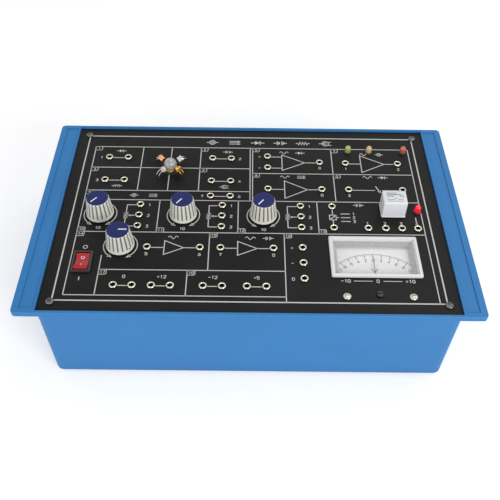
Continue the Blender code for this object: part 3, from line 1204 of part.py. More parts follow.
def build_movement():
    """Magnet, needle with its coil, and the zero adjuster, all on one upright axis."""
    place = (METER_X, METER_PIVOT_Y)
    magnet_low = METER_FLOOR + FIT
    magnet_top = magnet_low + MAGNET_HEIGHT
    bore_floor = magnet_low + (MAGNET_HEIGHT - COIL_DRUM_HEIGHT) / 2
    bm = bmesh.new()
    add_block(bm, (METER_X - MAGNET_WIDTH / 2, METER_PIVOT_Y - MAGNET_LENGTH / 2, magnet_low),
              (METER_X + MAGNET_WIDTH / 2, METER_PIVOT_Y + MAGNET_LENGTH / 2, magnet_top))
    magnet = make_piece("meter_magnet", bm, grey_steel(), (*place, magnet_low))
    bore = bmesh.new()
    mouth = magnet_top + OVERRUN
    add_turned(bore, [(0, bore_floor), (MAGNET_BORE_RADIUS, bore_floor),
                      (MAGNET_BORE_RADIUS, mouth), (0, mouth)], BUSH_SIDES, place)
    cut(magnet, bore)

    drum_low = bore_floor + FIT + PIVOT_RADIUS
    drum_top = drum_low + COIL_DRUM_HEIGHT
    arm_low = DIAL_TOP + NEEDLE_LIFT
    arm_top = arm_low + NEEDLE_THICKNESS
    hub_low = arm_low - NEEDLE_THICKNESS
    bm = bmesh.new()
    add_turned(bm, [(0, bore_floor + FIT), (PIVOT_RADIUS, drum_low), (COIL_DRUM_RADIUS, drum_low),
                    (COIL_DRUM_RADIUS, drum_top), (PIVOT_RADIUS, drum_top), (PIVOT_RADIUS, hub_low),
                    (NEEDLE_HUB_RADIUS, hub_low), (NEEDLE_HUB_RADIUS, arm_top),
                    (0, arm_top)], SCREW_SIDES, place)
    needle = make_piece("meter_needle", bm, black_plastic(), (*place, arm_low))
    arm = bmesh.new()
    x, y = place
    tip = y + NEEDLE_REACH
    tail = y - NEEDLE_TAIL
    weight = tail + NEEDLE_WEIGHT_WIDTH
    low, high = arm_low - NEEDLE_THICKNESS / 4, arm_top - NEEDLE_THICKNESS / 4
    add_prism(arm, [(x - NEEDLE_WEIGHT_WIDTH / 2, tail), (x + NEEDLE_WEIGHT_WIDTH / 2, tail),
                    (x + NEEDLE_WIDTH / 2, weight), (x + NEEDLE_TIP_WIDTH / 2, tip),
                    (x - NEEDLE_TIP_WIDTH / 2, tip), (x - NEEDLE_WIDTH / 2, weight)], low, high)
    join(needle, arm)

    seat = PANEL_TOP + FIT
    crown = seat + ZERO_HEAD_HEIGHT
    end = PANEL_TOP - ZERO_STEM_LENGTH
    bm = bmesh.new()
    add_turned(bm, [(0, end), (ZERO_STEM_RADIUS, end), (ZERO_STEM_RADIUS, seat), (ZERO_HEAD_RADIUS, seat),
                    (ZERO_HEAD_RADIUS, crown), (0, crown)], SCREW_SIDES, place)
    adjuster = make_piece("meter_zero_adjuster", bm, black_plastic(), (*place, seat))
    slot = bmesh.new()
    add_block(slot, (x - ZERO_HEAD_RADIUS - OVERRUN, y - ZERO_SLOT_WIDTH / 2, crown - ZERO_SLOT_DEPTH),
              (x + ZERO_HEAD_RADIUS + OVERRUN, y + ZERO_SLOT_WIDTH / 2, crown + OVERRUN))
    cut(adjuster, slot)


def build_inlet():
    """The three-pin mains inlet, fixed from inside the rear wall."""
    mouth_x, mouth_z = INLET_MOUTH_WIDTH / 2, INLET_MOUTH_TALL / 2
    shell_x, shell_z = mouth_x + INLET_WALL, mouth_z + INLET_WALL
    flange_x, flange_z = shell_x + INLET_FLANGE, shell_z + INLET_FLANGE
    outer = TUB_HALF_Y
    shell_back = outer - INLET_MOUTH_DEPTH - INLET_BACK
    cavity_back = outer - INLET_MOUTH_DEPTH
    flange_front = ROOM_HALF_Y - FIT
    flange_back = flange_front - INLET_FLANGE_THICKNESS
    rings = [rect_ring(shell_x, shell_z, INLET_CORNER, shell_back),
             rect_ring(shell_x, shell_z, INLET_CORNER, flange_back),
             rect_ring(flange_x, flange_z, INLET_CORNER, flange_back),
             rect_ring(flange_x, flange_z, INLET_CORNER, flange_front),
             rect_ring(shell_x, shell_z, INLET_CORNER, flange_front),
             rect_ring(shell_x, shell_z, INLET_CORNER, outer),
             rect_ring(mouth_x, mouth_z, INLET_CORNER, outer),
             rect_ring(mouth_x, mouth_z, INLET_CORNER, cavity_back)]
    bm = bmesh.new()
    thread_rings(bm, [[(INLET_X + x, depth, INLET_HEIGHT + z) for x, z, depth in ring] for ring in rings])
    inlet = make_piece("mains_inlet", bm, black_plastic(), (INLET_X, outer, INLET_HEIGHT))
    pins = bmesh.new()
    half_x, half_z = INLET_PIN_WIDTH / 2, INLET_PIN_TALL / 2
    for side, rise in ((-1, -INLET_PAIR_DROP), (1, -INLET_PAIR_DROP), (0, INLET_EARTH_RISE)):
        x, z = INLET_X + side * INLET_PIN_SPREAD, INLET_HEIGHT + rise
        add_block(pins, (x - half_x, cavity_back - INLET_BACK / 2, z - half_z),
                  (x + half_x, cavity_back + INLET_PIN_LENGTH, z + half_z))
    join(inlet, pins)


def build_transformer():
    """The laminated core with its foot plate, and the winding round the middle leg."""
    low = FLOOR_TOP + FIT
    top = low + CORE_TAB_THICKNESS + CORE_HEIGHT
    core_low = low + CORE_TAB_THICKNESS
    front, back = CORE_Y - CORE_DEPTH / 2, CORE_Y + CORE_DEPTH / 2
    bm = bmesh.new()
    add_block(bm, (CORE_X - CORE_WIDTH / 2, front, core_low), (CORE_X + CORE_WIDTH / 2, back, top))
    core = make_piece("transformer_core", bm, grey_steel(), (CORE_X, CORE_Y, core_low))
    tab = bmesh.new()
    add_block(tab, (CORE_X - CORE_TAB_WIDTH / 2, front, low),
              (CORE_X + CORE_TAB_WIDTH / 2, back, core_low + CORE_TAB_THICKNESS / 2))
    join(core, tab)
    windows = bmesh.new()
    near, far = CORE_CENTRE_LEG / 2, CORE_WIDTH / 2 - CORE_LEG
    window_low, window_top = core_low + CORE_LEG, top - CORE_LEG
    for side in (-1, 1):
        left, right = sorted((side * near, side * far))
        add_block(windows, (CORE_X + left, front - OVERRUN, window_low),
                  (CORE_X + right, back + OVERRUN, window_top))
    cut(core, windows)

    place = (CORE_X, CORE_Y)
    out_x, out_y = far - FIT, CORE_DEPTH / 2 + WINDING_BULGE
    in_x, in_y = near + FIT, CORE_DEPTH / 2 + FIT
    corner = FIT
    bm = bmesh.new()
    thread_rings(bm, [
        rect_ring(out_x, out_y, corner, window_low + FIT, place),
        rect_ring(out_x, out_y, corner, window_top - FIT, place),
        rect_ring(in_x, in_y, corner, window_top - FIT, place),
        rect_ring(in_x, in_y, corner, window_low + FIT, place)], closed=True)
    make_piece("transformer_winding", bm, copper_metal(), (*place, window_low))


def build_board():
    """The main circuit board on its posts, with the tall parts soldered to it."""
    low = FLOOR_TOP + POST_HEIGHT + FIT
    top = low + BOARD_THICKNESS
    half_x, half_y = BOARD_WIDTH / 2, BOARD_LENGTH / 2
    bm = bmesh.new()
    add_block(bm, (BOARD_X - half_x, BOARD_Y - half_y, low), (BOARD_X + half_x, BOARD_Y + half_y, top))
    board = make_piece("main_board", bm, green_board(), (BOARD_X, BOARD_Y, low))
    parts = bmesh.new()
    sunk = top - BOARD_THICKNESS / 2
    for step in (0, 1):
        place = (BOARD_X - half_x / 2 + step * CAPACITOR_PITCH, BOARD_Y + half_y / 2)
        add_turned(parts, [(0, sunk), (CAPACITOR_RADIUS, sunk), (CAPACITOR_RADIUS, top + CAPACITOR_HEIGHT),
                           (0, top + CAPACITOR_HEIGHT)], BUSH_SIDES, place)
    sink_x = BOARD_X + half_x / 2
    sink_y = BOARD_Y + half_y / 2
    add_block(parts, (sink_x - SINK_WIDTH / 2, sink_y - SINK_DEPTH / 2, sunk),
              (sink_x + SINK_WIDTH / 2, sink_y + SINK_DEPTH / 2, top + SINK_HEIGHT))
    join(board, parts)


def main():
    """Build the trainer piece by piece."""
    clear_scene()
    build_case()
    build_feet()
    build_panel()
    for number, place in enumerate(screw_places(), 1):
        dome_screw("panel_screw_" + str(number), place, SCREW_LENGTH)
    build_sockets()
    build_knobs()
    build_lamp()
    build_sensors()
    build_relay()
    build_indicators()
    build_switch()
    build_meter()
    build_inlet()
    build_transformer()
    build_board()


main()
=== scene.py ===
"""Finished look of an optical transducer trainer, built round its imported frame.

Every size is in millimetres in the frame's axes: +Z is up, the front of the case looks towards -Y,
and the origin lies under the middle of the case on the plane its feet stand on.
"""

import logging
from dataclasses import dataclass, field
from enum import Enum
from math import cos, hypot, pi, radians, sin
from typing import Iterable, Optional, Sequence, Union

import bmesh
import bpy
from mathutils import Matrix, Vector


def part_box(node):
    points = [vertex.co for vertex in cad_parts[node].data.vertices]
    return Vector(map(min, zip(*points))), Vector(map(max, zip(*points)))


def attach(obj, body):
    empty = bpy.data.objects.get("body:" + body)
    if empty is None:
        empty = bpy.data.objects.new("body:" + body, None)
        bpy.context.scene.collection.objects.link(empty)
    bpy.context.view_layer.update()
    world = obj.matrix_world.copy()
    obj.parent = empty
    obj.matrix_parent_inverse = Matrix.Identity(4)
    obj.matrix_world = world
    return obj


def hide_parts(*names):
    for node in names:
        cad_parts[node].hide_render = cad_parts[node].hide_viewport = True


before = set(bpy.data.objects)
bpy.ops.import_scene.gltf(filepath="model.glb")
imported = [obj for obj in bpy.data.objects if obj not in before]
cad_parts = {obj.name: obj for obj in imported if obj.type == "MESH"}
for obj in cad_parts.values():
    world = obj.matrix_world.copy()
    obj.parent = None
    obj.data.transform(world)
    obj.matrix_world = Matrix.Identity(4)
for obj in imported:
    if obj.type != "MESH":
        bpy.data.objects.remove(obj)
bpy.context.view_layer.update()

MM = 0.001
TURN = 2.0 * pi

Flat = tuple[float, float]
Point = Sequence[float]
Colour = tuple[float, float, float]
Feed = Union["Signal", bpy.types.NodeSocket, float, Sequence[float]]

log = logging.getLogger("trainer")


def srgb(red: float, green: float, blue: float) -> Colour:
    """Turn a display colour into scene light.

    Args:
        red: Red from 0 to 255.
        green: Green from 0 to 255.
        blue: Blue from 0 to 255.

    Returns:
        The three linear values.
    """
    levels = [value / 255.0 for value in (red, green, blue)]
    return tuple(v / 12.92 if v <= 0.04045 else ((v + 0.055) / 1.055) ** 2.4 for v in levels)


def shade(colour: Colour, share: float) -> Colour:
    """Return the colour made darker or lighter by a share."""
    return tuple(min(1.0, value * share) for value in colour)


class Body(Enum):
    """The bodies that pieces ride on."""

    CASE = "case"
    KNOB_A = "knob_a"
    KNOB_B = "knob_b"
    KNOB_C = "knob_c"
    KNOB_OFFSET = "knob_offset"
    ROCKER = "rocker"
    NEEDLE = "needle"
    ZERO = "zero_adjuster"
    ARMATURE = "armature"


class Signal:
    """A number that changes over a surface and takes part in plain sums."""

    def __init__(self, tree: "Tree", socket: bpy.types.NodeSocket) -> None:
        """Keep the tree and the socket that gives the number."""
        self.tree = tree
        self.socket = socket

    def _work(self, operation: str, first: Feed, second: Feed = 0.0, clamp: bool = False) -> "Signal":
        """Add one Math node.

        Args:
            operation: The node's operation.
            first: First value.
            second: Second value.
            clamp: Whether the result stays from 0 to 1.

        Returns:
            The result.
        """
        settings = {"operation": operation, "use_clamp": clamp}
        node = self.tree.node("ShaderNodeMath", settings, {0: first, 1: second})
        return Signal(self.tree, node.outputs[0])

    def __add__(self, other: Feed) -> "Signal":
        """Return the sum."""
        return self._work("ADD", self, other)

    __radd__ = __add__

    def __sub__(self, other: Feed) -> "Signal":
        """Return this less the other."""
        return self._work("SUBTRACT", self, other)

    def __rsub__(self, other: Feed) -> "Signal":
        """Return the other less this."""
        return self._work("SUBTRACT", other, self)

    def __mul__(self, other: Feed) -> "Signal":
        """Return the product."""
        return self._work("MULTIPLY", self, other)

    __rmul__ = __mul__

    def __abs__(self) -> "Signal":
        """Return the value without its sign."""
        return self._work("ABSOLUTE", self)

    def clamped(self) -> "Signal":
        """Return this held from 0 to 1."""
        return self._work("ADD", self, 0.0, clamp=True)

    def wave(self) -> "Signal":
        """Return the sine of this."""
        return self._work("SINE", self)


class Tree:
    """The nodes of one material or of the world, with one method that adds any node."""

    def __init__(self, owner: Union[bpy.types.Material, bpy.types.World],
                 shader: str = "Principled BSDF") -> None:
        """Open the owner's nodes.

        Args:
            owner: The material or the world.
            shader: The shader node that it starts with.
        """
        owner.use_nodes = True
        self.nodes = owner.node_tree.nodes
        self.links = owner.node_tree.links
        self.shader = self.nodes[shader]
        self.where = self.node("ShaderNodeTexCoord").outputs["Object"]

    def feed(self, socket: bpy.types.NodeSocket, value: Feed) -> None:
        """Link a socket to another, or set its own value.

        Args:
            socket: The socket.
            value: What feeds it, or its own value.
        """
        if isinstance(value, Signal):
            self.links.new(value.socket, socket)
        elif isinstance(value, bpy.types.NodeSocket):
            self.links.new(value, socket)
        elif socket.type == "RGBA":
            socket.default_value = (*value[:3], 1.0)
        else:
            socket.default_value = value

    def node(self, kind: str, settings: Optional[dict] = None, feeds: Optional[dict] = None) -> bpy.types.Node:
        """Add a node.

        Args:
            kind: The node's type.
            settings: Its properties, set first.
            feeds: Socket name or number with its value or link.

        Returns:
            The node.
        """
        made = self.nodes.new(kind)
        for name, value in (settings or {}).items():
            setattr(made, name, value)
        for key, value in (feeds or {}).items():
            self.feed(made.inputs[key], value)
        return made

    def surface(self, **feeds: Feed) -> None:
        """Feed the shader; a double underscore in a name stands for a space."""
        for key, value in feeds.items():
            self.feed(self.shader.inputs[key.replace("__", " ")], value)

    def noise(self, scale: float, detail: float = 2.0, rough: float = 0.5,
              where: Optional[bpy.types.NodeSocket] = None) -> Signal:
        """Return a noise.

        Args:
            scale: Waves in a metre.
            detail: Octaves.
            rough: Weight of the finer octaves.
            where: Place to read, else the object's own.

        Returns:
            The noise, about 0.5.
        """
        made = self.node("ShaderNodeTexNoise", None, {
            "Vector": where or self.where, "Scale": scale, "Detail": detail, "Roughness": rough})
        return Signal(self, made.outputs[0])

    def cells(self, scale: float, feature: str = "F1") -> Signal:
        """Return the distance to scattered points."""
        made = self.node("ShaderNodeTexVoronoi", {"feature": feature}, {"Vector": self.where, "Scale": scale})
        return Signal(self, made.outputs["Distance"])

    def stretched(self, scale: Point, turn: Point = (0.0, 0.0, 0.0)) -> bpy.types.NodeSocket:
        """Return the object's place scaled and turned."""
        made = self.node("ShaderNodeMapping", None, {"Vector": self.where, "Scale": scale, "Rotation": turn})
        return made.outputs["Vector"]

    def axis(self, letter: str) -> Signal:
        """Return one coordinate of the place, in metres."""
        made = self.node("ShaderNodeSeparateXYZ", None, {0: self.where})
        return Signal(self, made.outputs[letter])

    def mixed(self, share: Feed, first: Feed, second: Feed) -> bpy.types.NodeSocket:
        """Return a colour between two by a share."""
        made = self.node("ShaderNodeMix", {"data_type": "RGBA", "clamp_factor": True},
                         {0: share, 6: first, 7: second})
        return made.outputs[2]

    def band(self, value: Signal, low: float, high: float) -> Signal:
        """Return 0 under low, 1 over high and a smooth rise between."""
        made = self.node("ShaderNodeMapRange", {"interpolation_type": "SMOOTHSTEP"},
                         {"Value": value, "From Min": low, "From Max": high})
        return Signal(self, made.outputs["Result"])

    def bump(self, height: Signal, strength: float, depth: float,
             under: Optional[bpy.types.NodeSocket] = None) -> bpy.types.NodeSocket:
        """Return a normal raised by a height.

        Args:
            height: The relief.
            strength: How much it counts.
            depth: Height of a full step, in millimetres.
            under: A normal that it builds on.

        Returns:
            The normal.
        """
        feeds = {"Strength": strength, "Distance": depth * MM, "Height": height}
        if under is not None:
            feeds["Normal"] = under
        return self.node("ShaderNodeBump", None, feeds).outputs["Normal"]


FINISHED: dict[str, bpy.types.Material] = {}


@dataclass(frozen=True)
class Finish:
    """A surface finish: its colour, its gloss, and what changes over it."""

    name: str
    colour: Colour
    roughness: float = 0.4

    def material(self) -> bpy.types.Material:
        """Return the material, made once."""
        if self.name not in FINISHED:
            made = bpy.data.materials.new("finish_" + self.name)
            made.diffuse_color = (*self.colour, 1.0)
            self.dress(Tree(made))
            FINISHED[self.name] = made
        return FINISHED[self.name]

    def dress(self, tree: Tree) -> None:
        """Set the shader."""
        tree.surface(Base__Color=self.colour, Roughness=self.roughness)


@dataclass(frozen=True)
class Moulding(Finish):
    """Moulded plastic with a fine grain, faint flow marks and dust."""

    grain: float = 1400.0
    grain_depth: float = 0.03
    mottle: float = 0.06
    dust: float = 0.05
    specular: float = 0.5

    def dress(self, tree: Tree) -> None:
        """Set grain, flow marks and dust."""
        fine = tree.noise(self.grain, 3.0, 0.6)
        flow = tree.noise(14.0, 4.0, 0.55, tree.stretched((1.0, 1.6, 2.4)))
        spots = tree.band(tree.noise(420.0, 2.0, 0.7), 0.66, 0.74)
        base = tree.mixed(tree.band(flow, 0.3, 0.7), shade(self.colour, 1.0 - self.mottle),
                          shade(self.colour, 1.0 + self.mottle))
        base = tree.mixed(spots * self.dust, base, shade(self.colour, 1.7))
        rough = (self.roughness - 0.05) + 0.10 * fine + 0.06 * flow
        scratch = tree.noise(60.0, 5.0, 0.75, tree.stretched((1.0, 22.0, 6.0), (0.0, 0.0, 0.6)))
        grain = tree.bump(fine, 0.35, self.grain_depth)
        tree.surface(Base__Color=base, Roughness=rough, Specular__IOR__Level=self.specular,
                     Normal=tree.bump(scratch, 0.10, self.grain_depth, grain))


@dataclass(frozen=True)
class CaseMoulding(Moulding):
    """The case's moulding, with pale wear and a painted highlight on the rim edges, and painted shade towards the
    floor.
    """

    rim_top: float = 82.5
    half_width: float = 170.0
    half_depth: float = 105.0
    wear_and_highlight: float = 0.35

    def dress(self, tree: Tree) -> None:
        """Add wear and a painted highlight along the rim's edges, and painted shade near the floor, to the
        moulding.
        """
        super().dress(tree)
        plain = tree.shader.inputs["Base Color"].links[0].from_socket
        x, y, z = (tree.axis(letter) for letter in "XYZ")
        near_x = tree.band(abs(x), (self.half_width - 0.9) * MM, self.half_width * MM)
        near_y = tree.band(abs(y), (self.half_depth - 0.9) * MM, self.half_depth * MM)
        near_top = tree.band(z, (self.rim_top - 0.8) * MM, self.rim_top * MM)
        patchy = tree.band(tree.noise(180.0, 4.0, 0.7), 0.35, 0.75)
        # rim edge mask: real wear and a painted highlight along the rim's top edges, lightened in the base colour
        edge = ((near_x + near_y).clamped() * near_top * patchy).clamped()
        base = tree.mixed(edge * self.wear_and_highlight, plain, shade(self.colour, 2.2))
        # painted shade: the case's colour darkens towards the floor, where less light reaches the walls
        low = 1.0 - tree.band(z, 3.0 * MM, 16.0 * MM)
        base = tree.mixed(low * 0.18, base, shade(self.colour, 0.5))
        tree.surface(Base__Color=base)


@dataclass(frozen=True)
class SatinPanel(Finish):
    """A screen-printed black plate: fine orange peel, rubbed patches and dust."""

    def dress(self, tree: Tree) -> None:
        """Set the plate's black, its sheen and its fine scratches."""
        peel = tree.noise(900.0, 2.0, 0.5)
        rub = tree.noise(16.0, 5.0, 0.6)
        dust = tree.band(tree.noise(700.0, 3.0, 0.75), 0.66, 0.76)
        hair = tree.noise(45.0, 6.0, 0.8, tree.stretched((1.0, 30.0, 1.0), (0.0, 0.0, 0.35)))
        base = tree.mixed(tree.band(rub, 0.3, 0.7), shade(self.colour, 0.8), shade(self.colour, 1.35))
        base = tree.mixed(dust * 0.10, base, (0.10, 0.10, 0.10))
        rough = (self.roughness - 0.06) + 0.12 * rub + 0.08 * tree.band(hair, 0.55, 0.7)
        relief = tree.bump(peel, 0.25, 0.02)
        tree.surface(Base__Color=base, Roughness=rough, Specular__IOR__Level=0.12,
                     Normal=tree.bump(hair, 0.08, 0.02, relief))


@dataclass(frozen=True)
class ScreenInk(Finish):
    """A thin layer of printing ink, a little uneven and worn."""

    worn: Colour = (0.10, 0.10, 0.10)

    def dress(self, tree: Tree) -> None:
        """Set an uneven coverage and the mesh of the screen."""
        mesh = tree.noise(2600.0, 2.0, 0.6)
        patch = tree.band(tree.noise(230.0, 4.0, 0.7), 0.60, 0.80)
        base = tree.mixed(tree.band(mesh, 0.3, 0.7) * 0.25, self.colour, shade(self.colour, 0.82))
        base = tree.mixed(patch * 0.35, base, self.worn)
        tree.surface(Base__Color=base, Roughness=(self.roughness - 0.08) + 0.16 * mesh,
                     Normal=tree.bump(mesh, 0.3, 0.02))


@dataclass(frozen=True)
class Metal(Finish):
    """Plated or bare metal with turning marks, tarnish and handling marks."""

    tarnish: Colour = (0.30, 0.26, 0.20)
    tarnished: float = 0.25
    marks: float = 900.0

    def dress(self, tree: Tree) -> None:
        """Set the metal's tint, its tarnish and its fine marks."""
        cloud = tree.band(tree.noise(160.0, 4.0, 0.65), 0.45, 0.8)
        fine = tree.noise(self.marks, 3.0, 0.6, tree.stretched((1.0, 1.0, 7.0)))
        pits = tree.band(tree.noise(1500.0, 2.0, 0.7), 0.68, 0.78)
        base = tree.mixed(cloud * self.tarnished, self.colour, self.tarnish)
        rough = self.roughness + 0.12 * (fine - 0.5) + 0.25 * cloud * self.tarnished + 0.1 * pits
        tree.surface(Base__Color=base, Metallic=1.0, Roughness=rough.clamped(),
                     Normal=tree.bump(fine - 0.6 * pits, 0.25, 0.02))


@dataclass(frozen=True)
class ClearGlass(Finish):
    """Clear glass that light passes through."""

    ior: float = 1.47
    clarity: float = 0.80

    def dress(self, tree: Tree) -> None:
        """Set glass with a faint smear."""
        smear = tree.band(tree.noise(90.0, 3.0, 0.6), 0.45, 0.85)
        tree.surface(Base__Color=self.colour, Roughness=self.roughness + 0.05 * smear,
                     Transmission__Weight=self.clarity, IOR=self.ior)


@dataclass(frozen=True)
class ThinPane(Finish):
    """A thin clear pane that lets light straight through."""

    alpha: float = 0.10

    def dress(self, tree: Tree) -> None:
        """Set a pane with fine wiping marks."""
        wipe = tree.band(tree.noise(30.0, 5.0, 0.75, tree.stretched((1.0, 9.0, 1.0), (0.0, 0.0, 0.9))), 0.5, 0.8)
        tree.surface(Base__Color=self.colour, Roughness=self.roughness + 0.12 * wipe,
                     Alpha=self.alpha + 0.05 * wipe)


@dataclass(frozen=True)
class Epoxy(Finish):
    """Coloured clear epoxy of an indicator."""

    clarity: float = 0.55
    glow: float = 0.06

    def dress(self, tree: Tree) -> None:
        """Set a tinted body with a slight haze."""
        haze = tree.noise(350.0, 2.0, 0.5)
        base = tree.mixed(haze * 0.5, self.colour, shade(self.colour, 0.75))
        tree.surface(Base__Color=base, Roughness=self.roughness + 0.06 * haze, IOR=1.52,
                     Transmission__Weight=self.clarity, Coat__Weight=0.5,
                     Emission__Color=self.colour, Emission__Strength=self.glow)


@dataclass(frozen=True)
class Card(Finish):
    """Painted card or sheet of a dial."""

    def dress(self, tree: Tree) -> None:
        """Set a fibrous, slightly yellowed white."""
        fibre = tree.noise(1200.0, 3.0, 0.7, tree.stretched((1.0, 3.0, 1.0)))
        age = tree.noise(25.0, 3.0, 0.6)
        base = tree.mixed(tree.band(age, 0.35, 0.75) * 0.3, self.colour, shade(self.colour, 0.93))
        tree.surface(Base__Color=base, Roughness=self.roughness + 0.1 * (fibre - 0.5),
                     Normal=tree.bump(fibre, 0.15, 0.02))


@dataclass(frozen=True)
class Laminations(Finish):
    """Stacked core sheets, edge on."""

    pitch: float = 0.5

    def dress(self, tree: Tree) -> None:
        """Set the sheet lines and a varnish that has run."""
        lines = (tree.axis("Y") * (TURN / (self.pitch * MM))).wave()
        varnish = tree.noise(70.0, 4.0, 0.6)
        base = tree.mixed(tree.band(varnish, 0.3, 0.7), self.colour, shade(self.colour, 0.45))
        tree.surface(Base__Color=base, Metallic=0.85, Roughness=self.roughness + 0.25 * (varnish - 0.5),
                     Normal=tree.bump(lines, 0.6, 0.1))


@dataclass(frozen=True)
class WireWinding(Finish):
    """Enamelled wire in level turns."""

    pitch: float = 0.6

    def dress(self, tree: Tree) -> None:
        """Set the turns of the wire along the height."""
        turns = (tree.axis("Z") * (TURN / (self.pitch * MM))).wave()
        tone = tree.noise(120.0, 3.0, 0.6)
        base = tree.mixed(tone, self.colour, shade(self.colour, 0.6))
        tree.surface(Base__Color=base, Metallic=0.9, Roughness=self.roughness + 0.15 * tone,
                     Normal=tree.bump(turns, 0.8, 0.2))


@dataclass(frozen=True)
class CircuitBoard(Finish):
    """Lacquered circuit board with faint tracks."""

    def dress(self, tree: Tree) -> None:
        """Set the lacquer, the weave under it and the tracks."""
        tracks = tree.band(tree.cells(170.0, "DISTANCE_TO_EDGE"), 0.05, 0.09)
        weave = tree.noise(2200.0, 2.0, 0.5)
        base = tree.mixed(tracks, shade(self.colour, 1.8), self.colour)
        tree.surface(Base__Color=base, Roughness=self.roughness + 0.1 * weave,
                     Normal=tree.bump(tracks + 0.3 * weave, 0.3, 0.05))


BLUE = CaseMoulding("blue_case", (0.036, 0.208, 0.505), 0.42, grain=1500.0, grain_depth=0.02, mottle=0.03,
                    dust=0.03, specular=0.25)
PANEL_BLACK = SatinPanel("panel_black", (0.0095, 0.0090, 0.0092), 0.42)
PANEL_INK = ScreenInk("panel_ink", srgb(206, 206, 202), 0.5)
DIAL_INK = ScreenInk("dial_ink", (0.02, 0.02, 0.022), 0.5, worn=(0.1, 0.1, 0.1))
MARK_INK = ScreenInk("mark_ink", (0.10, 0.10, 0.11), 0.5, worn=(0.3, 0.3, 0.3))
SOCKET_METAL = Metal("socket_nickel", srgb(206, 200, 184), 0.20, tarnish=srgb(120, 106, 80), tarnished=0.40)
SCREW_METAL = Metal("screw_zinc", srgb(204, 200, 190), 0.24, tarnish=srgb(110, 100, 86), tarnished=0.35)
SCREW_DARK = Metal("screw_dark", srgb(112, 110, 110), 0.34, tarnish=srgb(60, 56, 52), tarnished=0.4)
STEEL = Metal("pot_steel", srgb(190, 190, 188), 0.35)
BRASS = Metal("brass", srgb(214, 178, 110), 0.26, tarnish=srgb(120, 84, 40))
COPPER_CAN = Metal("copper_can", srgb(205, 150, 112), 0.28, tarnish=srgb(110, 66, 40))
SILVER_CAN = Metal("silver_can", srgb(205, 203, 198), 0.20, tarnish=srgb(110, 104, 96))
GOLD_CAN = Metal("gold_can", srgb(222, 172, 92), 0.22, tarnish=srgb(120, 80, 40))
TUNGSTEN = Metal("filament", srgb(150, 148, 145), 0.4)
KNOB_GREY = Moulding("knob_grey", srgb(229, 229, 219), 0.42, grain=1800.0, grain_depth=0.02, mottle=0.03, dust=0.1)
# painted shade: a darker finish laid in the knob grooves for the shadow that falls in them
KNOB_GROOVE_SHADE = Moulding("knob_groove_painted_shade", srgb(128, 128, 118), 0.6, grain=1500.0, grain_depth=0.02, mottle=0.10,
                       dust=0.0, specular=0.2)
KNOB_NAVY = Moulding("knob_navy", srgb(24, 36, 96), 0.40, grain=2200.0, grain_depth=0.015, mottle=0.06, dust=0.12,
                     specular=0.22)
POINTER_WHITE = Moulding("pointer_white", srgb(238, 240, 240), 0.4, grain=2200.0, grain_depth=0.01, mottle=0.02)
BEZEL_WHITE = Moulding("bezel_white", srgb(232, 232, 232), 0.38, grain=1700.0, grain_depth=0.015, mottle=0.02)
LINER_GREY = Moulding("liner_grey", srgb(180, 180, 183), 0.3, grain=1500.0, grain_depth=0.02, mottle=0.04)
RELAY_WHITE = Moulding("relay_white", srgb(232, 234, 238), 0.4, grain=1600.0, grain_depth=0.015, mottle=0.02)
BLACK_PLASTIC = Moulding("black_plastic", (0.016, 0.016, 0.017), 0.38, grain=1500.0, mottle=0.15, dust=0.12)
# painted shade: a near-black matte lining set in the socket bores for the shadow inside them
BORE_SHADE_BLACK = Moulding("bore_painted_shade", (0.004, 0.004, 0.004), 0.7, grain=1200.0, mottle=0.1, dust=0.0, specular=0.1)
RUBBER = Moulding("foot_rubber", (0.018, 0.018, 0.018), 0.75, grain=900.0, grain_depth=0.05, mottle=0.1, dust=0.35)
SWITCH_RED = Moulding("switch_red", srgb(176, 26, 30), 0.28, grain=1700.0, grain_depth=0.01, mottle=0.05)
CERAMIC = Moulding("sensor_ceramic", srgb(232, 206, 196), 0.35, grain=1500.0, grain_depth=0.02, mottle=0.05)
TRACK = Moulding("sensor_track", srgb(150, 72, 52), 0.4, grain=1500.0, grain_depth=0.02, mottle=0.05)
DARK_WINDOW = Moulding("dark_window", (0.01, 0.01, 0.014), 0.08, grain=800.0, grain_depth=0.002, mottle=0.2,
                       dust=0.0)
LAMP_GLASS = ClearGlass("lamp_glass", (0.94, 0.96, 0.96), 0.02)
METER_PANE = ThinPane("meter_pane", (0.95, 0.96, 0.97), 0.04)
RED_EPOXY = Epoxy("red_epoxy", srgb(236, 22, 44), 0.14, clarity=0.30, glow=0.45)
GREEN_EPOXY = Epoxy("green_epoxy", srgb(196, 204, 112), 0.14, clarity=0.45)
AMBER_EPOXY = Epoxy("amber_epoxy", srgb(236, 206, 158), 0.14, clarity=0.45)
ORANGE_EPOXY = Epoxy("orange_epoxy", srgb(222, 120, 78), 0.14, clarity=0.45)
DIAL_WHITE = Card("dial_white", srgb(250, 250, 249), 0.55)
CORE_STEEL = Laminations("core_steel", srgb(120, 122, 126), 0.4)
COPPER_WIRE = WireWinding("copper_wire", srgb(196, 104, 62), 0.3)
BOARD_GREEN = CircuitBoard("board_green", srgb(28, 84, 48), 0.35)
STRIP_BROWN = CircuitBoard("strip_brown", srgb(96, 66, 40), 0.45)


def disc(radius: float, z: float, sides: int, centre: Flat = (0.0, 0.0)) -> list[Point]:
    """Return the points of a level circle, or its middle when it has no radius.

    Args:
        radius: Its radius.
        z: Its height.
        sides: How many points.
        centre: Its middle.

    Returns:
        The points.
    """
    if radius <= 0.0:
        return [(centre[0], centre[1], z)]
    return [(centre[0] + radius * cos(TURN * i / sides), centre[1] + radius * sin(TURN * i / sides), z)
            for i in range(sides)]


